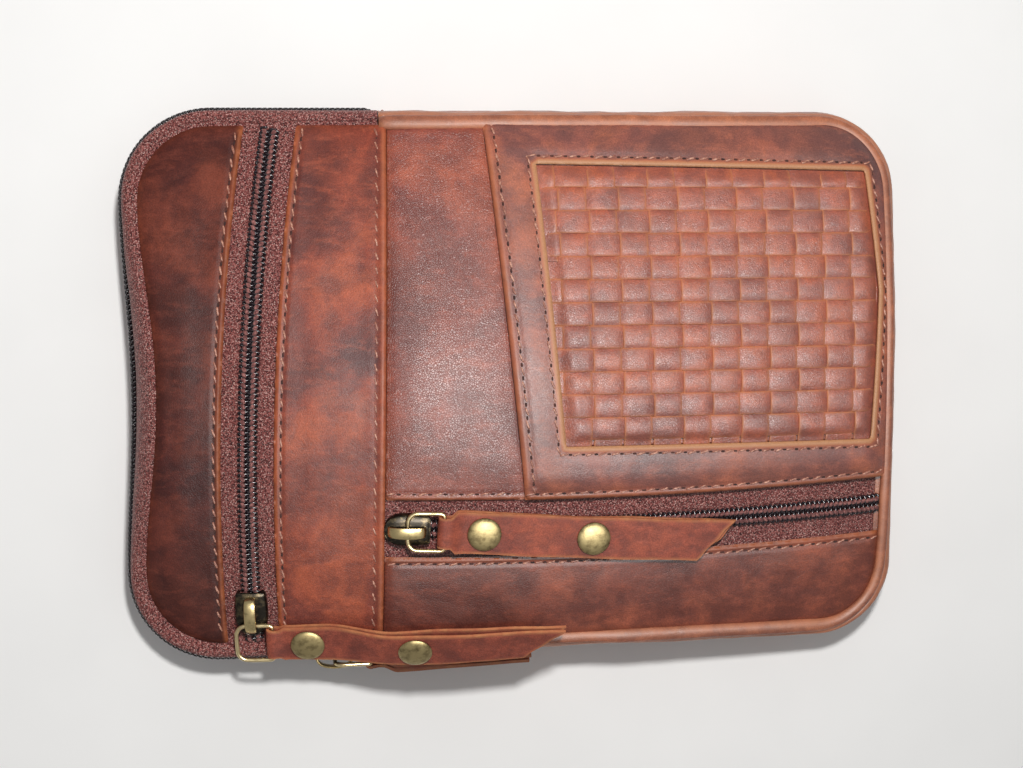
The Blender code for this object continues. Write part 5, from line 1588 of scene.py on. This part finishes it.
# ------------------------------------------------------------------ back and linings
def flat_sheet(name, outline, height, material, replaced, wear_and_highlight=None):
    """Sheet whose height function gives absolute top and bottom heights."""
    def offsets(pts):
        return tuple(z - front_z(pts[:, 0], pts[:, 1]) for z in height(pts))

    ob = panel(name, outline, offsets, material, "pouch", step=2.6,
               edge_rows=(0.5, 1.2, 2.0, 3.0, 4.4, 6.2), wear_and_highlight=wear_and_highlight)
    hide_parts(replaced)


BACK_OUT = closed_outline(back_edge, 0.0, 1.6)


def back_height(pts):
    """Turns up at the rim and rests on the floor inside it."""
    rim = dist_to(pts, BACK_OUT)
    z = np.interp(rim, [0, 0.6, 2.5, 4.2, 6.0, 8.0], [2.6, 2.15, 1.0, 0.42, 0.10, 0.0])
    waves = (0.30 + wrinkle(pts[:, 0], pts[:, 1], 61) * 0.5) * ease(rim, 6, 16)
    low = np.maximum(0.0, z + np.maximum(0, waves) * 0.8)
    return low + 1.35, low


def back_lining_height(pts):
    rim = dist_to(pts, BACK_OUT)
    z = np.interp(rim, [1.2, 3.2, 6.8, 9.0], [4.3, 2.8, 1.85, 1.75])
    waves = (np.maximum(0, 0.5 + wrinkle(pts[:, 0] * 1.6, pts[:, 1] * 1.6, 71)) * 1.1
             * ease(rim, 7, 15))
    return z + waves + 0.4, z + waves


flat_sheet("back_leather", BACK_OUT, back_height, BODY, "back_panel",
           wear_and_highlight=lambda pts: rubbed(dist_to(pts, BACK_OUT), 0.5, width=1.5))
flat_sheet("back_lining_cloth", closed_outline(back_edge, -1.2, 1.6), back_lining_height, LINING,
           "back_lining")


def gusset_lining(low=0.12, height=0.74, rows=14):
    wall = Wall(GUSSET_STATIONS[2:-2])

    def offset(level):
        folds = (0.35 + 0.5 * line_noise(wall.arc, level * 18.0, 11.0, 77)
                 + 0.25 * line_noise(wall.arc, level * 30.0, 5.0, 78))
        share = min(1.0, max(0.0, (level - low) / height))
        return -1.75 - np.maximum(0, folds) * math.sin(math.pi * share)

    levels = [low + height * i / rows for i in range(rows + 1)]
    ob = wall_sheet("gusset_lining_cloth", wall, [(level, offset(level)) for level in levels],
                    LINING, thick=0.4)
    attach(ob, "pouch", "lining_cloth", "gusset_lining")


gusset_lining()


def inner_sheet(name, outline, top, thick, material, replaced):
    """Thin sheet of even thickness under the front."""
    ob = panel(name, outline, lambda pts: (top(pts), top(pts) - thick), material, "pouch",
               step=2.6, edge_rows=(0.5, 1.2, 2.2, 3.4))
    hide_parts(replaced)


DIVIDER_OUT = cut(closed_outline(front_edge, -5.5, 1.5), lambda y: -37.5, axis=0, keep=1)


def divider_top(pts):
    waves = wrinkle(pts[:, 0] * 1.5, pts[:, 1] * 1.5, 81)
    return -10.6 + waves * 0.9 * ease(dist_to(pts, DIVIDER_OUT), 0, 6)


inner_sheet("divider_lining_cloth", DIVIDER_OUT, divider_top, 0.4, LINING, "divider_lining")
inner_sheet("woven_patch_backing_cloth", WINDOW, lambda pts: 0.7 + 0 * pts[:, 0], 0.35, WEAVE,
            "woven_patch_backing")


def trough_cloth(zip_name, stations, half_width, name, body, seed):
    """Sagging cloth under a front zip."""
    outer, inner = [], []
    for offset in np.linspace(-half_width, half_width, 33):
        from_edge = half_width - abs(offset)
        depth = 2.95 + 4.4 * float(ease(from_edge, 3.5, 9.5))
        if zip_name == "top":
            x, y = track_x(stations, 0) + offset, stations
        else:
            x, y = stations, track_y(stations, 0) + offset
        folds = 0.35 * value_noise(x * 1.4, y * 1.4, 9.0, seed) * float(ease(from_edge, 4, 9))
        z = front_z(x, y) - depth - np.maximum(-0.2, folds)
        outer.append(np.stack([x, y, z], 1))
        inner.append(np.stack([x, y, z - 0.4], 1))
    ob = slab(f"{name}_cloth", np.stack(outer, 1), np.stack(inner, 1), LINING)
    attach(ob, body, "lining_cloth", name)


trough_cloth("top", np.linspace(-68, 68, 70), 16.5, "top_pocket_lining", "front_flap", 91)
trough_cloth("pocket", np.linspace(-37, 101, 70), 17.5, "side_pocket_lining", "pouch", 95)

# ------------------------------------------------------------------ sliders
# Origin, nose direction and width direction.
SLIDERS = {
    "pocket": ((-34.8, -41.125, 31.502), (-0.998469, 0.023379, -0.050137),
               (-0.015853, -0.989222, -0.145564)),
    "top": ((-79.991, -65.5, 22.793), (0.034841, -0.971308, -0.235259),
            (0.992365, 0.005755, 0.123204)),
    "main": ((-56.0, -80.15, 14.0), (-1.0, 0.0, 0.0), (0.0, 0.0, -1.0)),
}
# Side view (x, z) of the arched bridge.
BRIDGE_ARCH = np.array([(-5.0, 1.2), (-5.02, 2.3), (-4.75, 3.35), (-3.7, 4.05), (-1.6, 4.42),
                        (0.4, 4.50), (2.4, 4.30), (4.0, 3.75), (5.0, 2.9), (5.35, 2.0),
                        (5.4, 1.1)])
PLATE_RINGS, BRIDGE_SIDES = 30, 14


def plate_section(x, top):
    """Section (x, y, z) of the top plate with its side walls, or of the bottom plate."""
    w = 4.65 - 0.35 * float(ease(-x, 1.5, 6.5))
    if x > 1.2:
        w = 4.65 * (1 - ((x - 1.2) / 5.75) ** 2.3) ** 0.55
    if x < -6.0:
        w -= (-6.0 - x) * 1.1
    w = max(w, 0.75)
    if top:
        k = 0.35 * float(ease(x, 3.2, 6.7)) + 0.30 * float(ease(-x, 5.4, 6.5))
        e = min(0.8, w * 0.45)
        section = [(-w, -1.1), (-w, 0.75), (-w + 0.18, 1.15), (-w + 0.55, 1.42 - k),
                   (-w * 0.5, 1.62 - k), (0, 1.70 - k), (w * 0.5, 1.62 - k),
                   (w - 0.55, 1.42 - k), (w - 0.18, 1.15), (w, 0.75), (w, -1.1), (w - e, -1.1),
                   (w - e, 0.55), (0, 0.62), (-w + e, 0.55), (-w + e, -1.1)]
    else:
        w = min(w * 0.76, 3.5)
        section = [(-w, -3.3), (-w, -3.8), (-w + 0.4, -4.05), (0, -4.1), (w - 0.4, -4.05),
                   (w, -3.8), (w, -3.3), (0, -3.3)]
    return [(x, y, z) for y, z in section]


def bridge_rings():
    places = np.linspace(0, len(BRIDGE_ARCH) - 1, 49)
    knots = np.arange(len(BRIDGE_ARCH))
    path = np.stack([np.interp(places, knots, BRIDGE_ARCH[:, k]) for k in range(2)], 1)
    for _ in range(4):
        path[1:-1] = (path[:-2] + 2 * path[1:-1] + path[2:]) / 4
    tangent = unit_rows(np.gradient(path, axis=0))
    rings = []
    for i, (x, z) in enumerate(path):
        width = 1.35 + 0.35 * math.sin(math.pi * i / (len(path) - 1))
        ring = []
        for j in range(BRIDGE_SIDES):
            angle = 2 * math.pi * j / BRIDGE_SIDES
            cos, sin = math.cos(angle), math.sin(angle)
            y = width * math.copysign(abs(cos) ** 0.8, cos)
            out = 0.46 * math.copysign(abs(sin) ** 0.75, sin)
            ring.append((x - tangent[i, 1] * out, y, z + tangent[i, 0] * out))
        rings.append(ring)
    return rings


def slider(prefix, origin, nose, width):
    """Cast slider: two channel plates joined at the nose, and an arched bridge for the ring."""
    x_axis, y_axis = unit(nose), unit(width)
    z_axis = np.cross(x_axis, y_axis)
    builder = Builder()

    def add_rings(rings, slot=0):
        pts = np.asarray(rings, float)
        placed = (np.array(origin) + x_axis * pts[..., 0:1] + y_axis * pts[..., 1:2]
                  + z_axis * pts[..., 2:3])
        builder.add(placed.reshape(-1, 3), tube_faces(*pts.shape[:2]), slot)

    stations = [-6.5 + 13.2 * (0.5 - 0.5 * math.cos(math.pi * (i / (PLATE_RINGS - 1))))
                for i in range(PLATE_RINGS)]
    for top in (True, False):
        add_rings([plate_section(x, top) for x in stations])
    web = ((-0.24, -3.4), (0.24, -3.4), (0.24, 0.7), (-0.24, 0.7))
    add_rings([[(x, y, z) for y, z in web] for x in (2.3, 5.1)])
    add_rings(bridge_rings(), slot=1)
    ob = builder.build(f"{prefix}_zip_slider_cast", [BRONZE, BRIDGE], sharp=38)
    attach(ob, f"{prefix}_slider", "dark_bronze", f"{prefix}_zip_slider")


for prefix, placing in SLIDERS.items():
    slider(prefix, *placing)


# ------------------------------------------------------------------ metal kept from the CAD
def finish_cad_metal(ob, kind, material):
    ob.data.materials.clear()
    ob.data.materials.append(material)
    weld = ob.modifiers.new("weld", "WELD")
    weld.merge_threshold = 0.00002
    ob.data.polygons.foreach_set("use_smooth", np.ones(len(ob.data.polygons), bool))
    if kind == "slider":
        bevel = ob.modifiers.new("edges", "BEVEL")
        bevel.width = 0.22 * MM
        bevel.segments = 3
        bevel.limit_method = "ANGLE"
        bevel.angle_limit = math.radians(32)
        normals = ob.modifiers.new("normals", "WEIGHTED_NORMAL")
        normals.keep_sharp = False
    else:
        rounding = ob.modifiers.new("round", "SUBSURF")
        rounding.levels = rounding.render_levels = 2 if kind == "ring" else 1


# In this order: a name that holds two of the words takes the first.
CAD_METALS = (("rivet", BRASS), ("ring", WIRE), ("slider", BRONZE))
for name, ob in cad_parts.items():
    if ob.hide_render:
        continue
    for kind, material in CAD_METALS:
        if kind in name:
            finish_cad_metal(ob, kind, material)
            break


# ------------------------------------------------------------------ floor, light and camera
# From here on lengths are in metres.
def add_floor(half=4, z=-0.0004):
    mesh = bpy.data.meshes.new("floor")
    mesh.from_pydata([(-half, -half, z), (half, -half, z), (half, half, z), (-half, half, z)], [],
                     [(0, 1, 2, 3)])
    floor = bpy.data.objects.new("floor", mesh)
    bpy.context.scene.collection.objects.link(floor)
    g = Shader("pale_floor")
    color = g.ramp(g.noise(scale=22.0), (0.3, (0.84, 0.84, 0.835)), (0.7, (0.87, 0.87, 0.865)))
    mesh.materials.append(g.finish(color, 0.9, Specular_IOR_Level=0.1))


def light_world(strength=0.31, extra_in_reflections=0.05):
    """White surroundings, a little brighter in reflections."""
    world = bpy.context.scene.world or bpy.data.worlds.new("world")
    bpy.context.scene.world = world
    world.use_nodes = True
    tree = world.node_tree
    background = next(n for n in tree.nodes if n.type == "BACKGROUND")
    background.inputs[0].default_value = (1.0, 1.0, 1.0, 1)
    glossy = tree.nodes.new("ShaderNodeLightPath").outputs["Is Glossy Ray"]
    level = tree.nodes.new("ShaderNodeMath")
    level.operation = "MULTIPLY_ADD"
    level.inputs[1].default_value = extra_in_reflections
    level.inputs[2].default_value = strength
    tree.links.new(glossy, level.inputs[0])
    tree.links.new(level.outputs[0], background.inputs[1])


LIGHT_TARGET = (0, 0, 0.02)
KEY_LOCATION, KEY_COLOR = (-0.02, 0.20, 0.56), (1.0, 0.985, 0.965)
FILL_COLOR = (1.0, 0.985, 0.97)


def area_light(name, location, size, power, color):
    light = bpy.data.lights.new(name, "AREA")
    light.shape = "DISK"
    light.size = size
    light.energy = power
    light.color = color
    ob = bpy.data.objects.new(name, light)
    ob.location = location
    ob.rotation_mode = "QUATERNION"
    aim = Vector(LIGHT_TARGET) - Vector(location)
    ob.rotation_quaternion = aim.to_track_quat("-Z", "Y")
    bpy.context.scene.collection.objects.link(ob)
    return ob


def add_lights():
    key = area_light("key", KEY_LOCATION, size=0.05, power=2.55, color=KEY_COLOR)
    key.visible_glossy = False
    area_light("key_glint", KEY_LOCATION, size=0.05, power=0.40, color=KEY_COLOR)
    # These two only add highlights.
    near = area_light("near", (0.004, -0.050, 0.52), size=0.10, power=3.0, color=FILL_COLOR)
    near.visible_diffuse = False
    right = area_light("right", (0.215, -0.03, 0.52), size=0.10, power=1.3, color=FILL_COLOR)
    right.visible_diffuse = False


def add_camera():
    data = bpy.data.cameras.new("camera")
    data.lens = 59.824
    data.sensor_width = 36.0
    data.clip_start = 0.01
    data.clip_end = 20.0
    camera = bpy.data.objects.new("camera", data)
    bpy.context.scene.collection.objects.link(camera)
    camera.rotation_mode = "XYZ"
    camera.location = (-0.06412, 0.03652, 0.51770)
    camera.rotation_euler = tuple(math.radians(a) for a in (-4.15067, -7.06762, -0.54877))
    bpy.context.scene.camera = camera


add_floor()
light_world()
add_lights()
add_camera()
bpy.context.scene.view_settings.view_transform = "Standard"

bpy.context.view_layer.update()
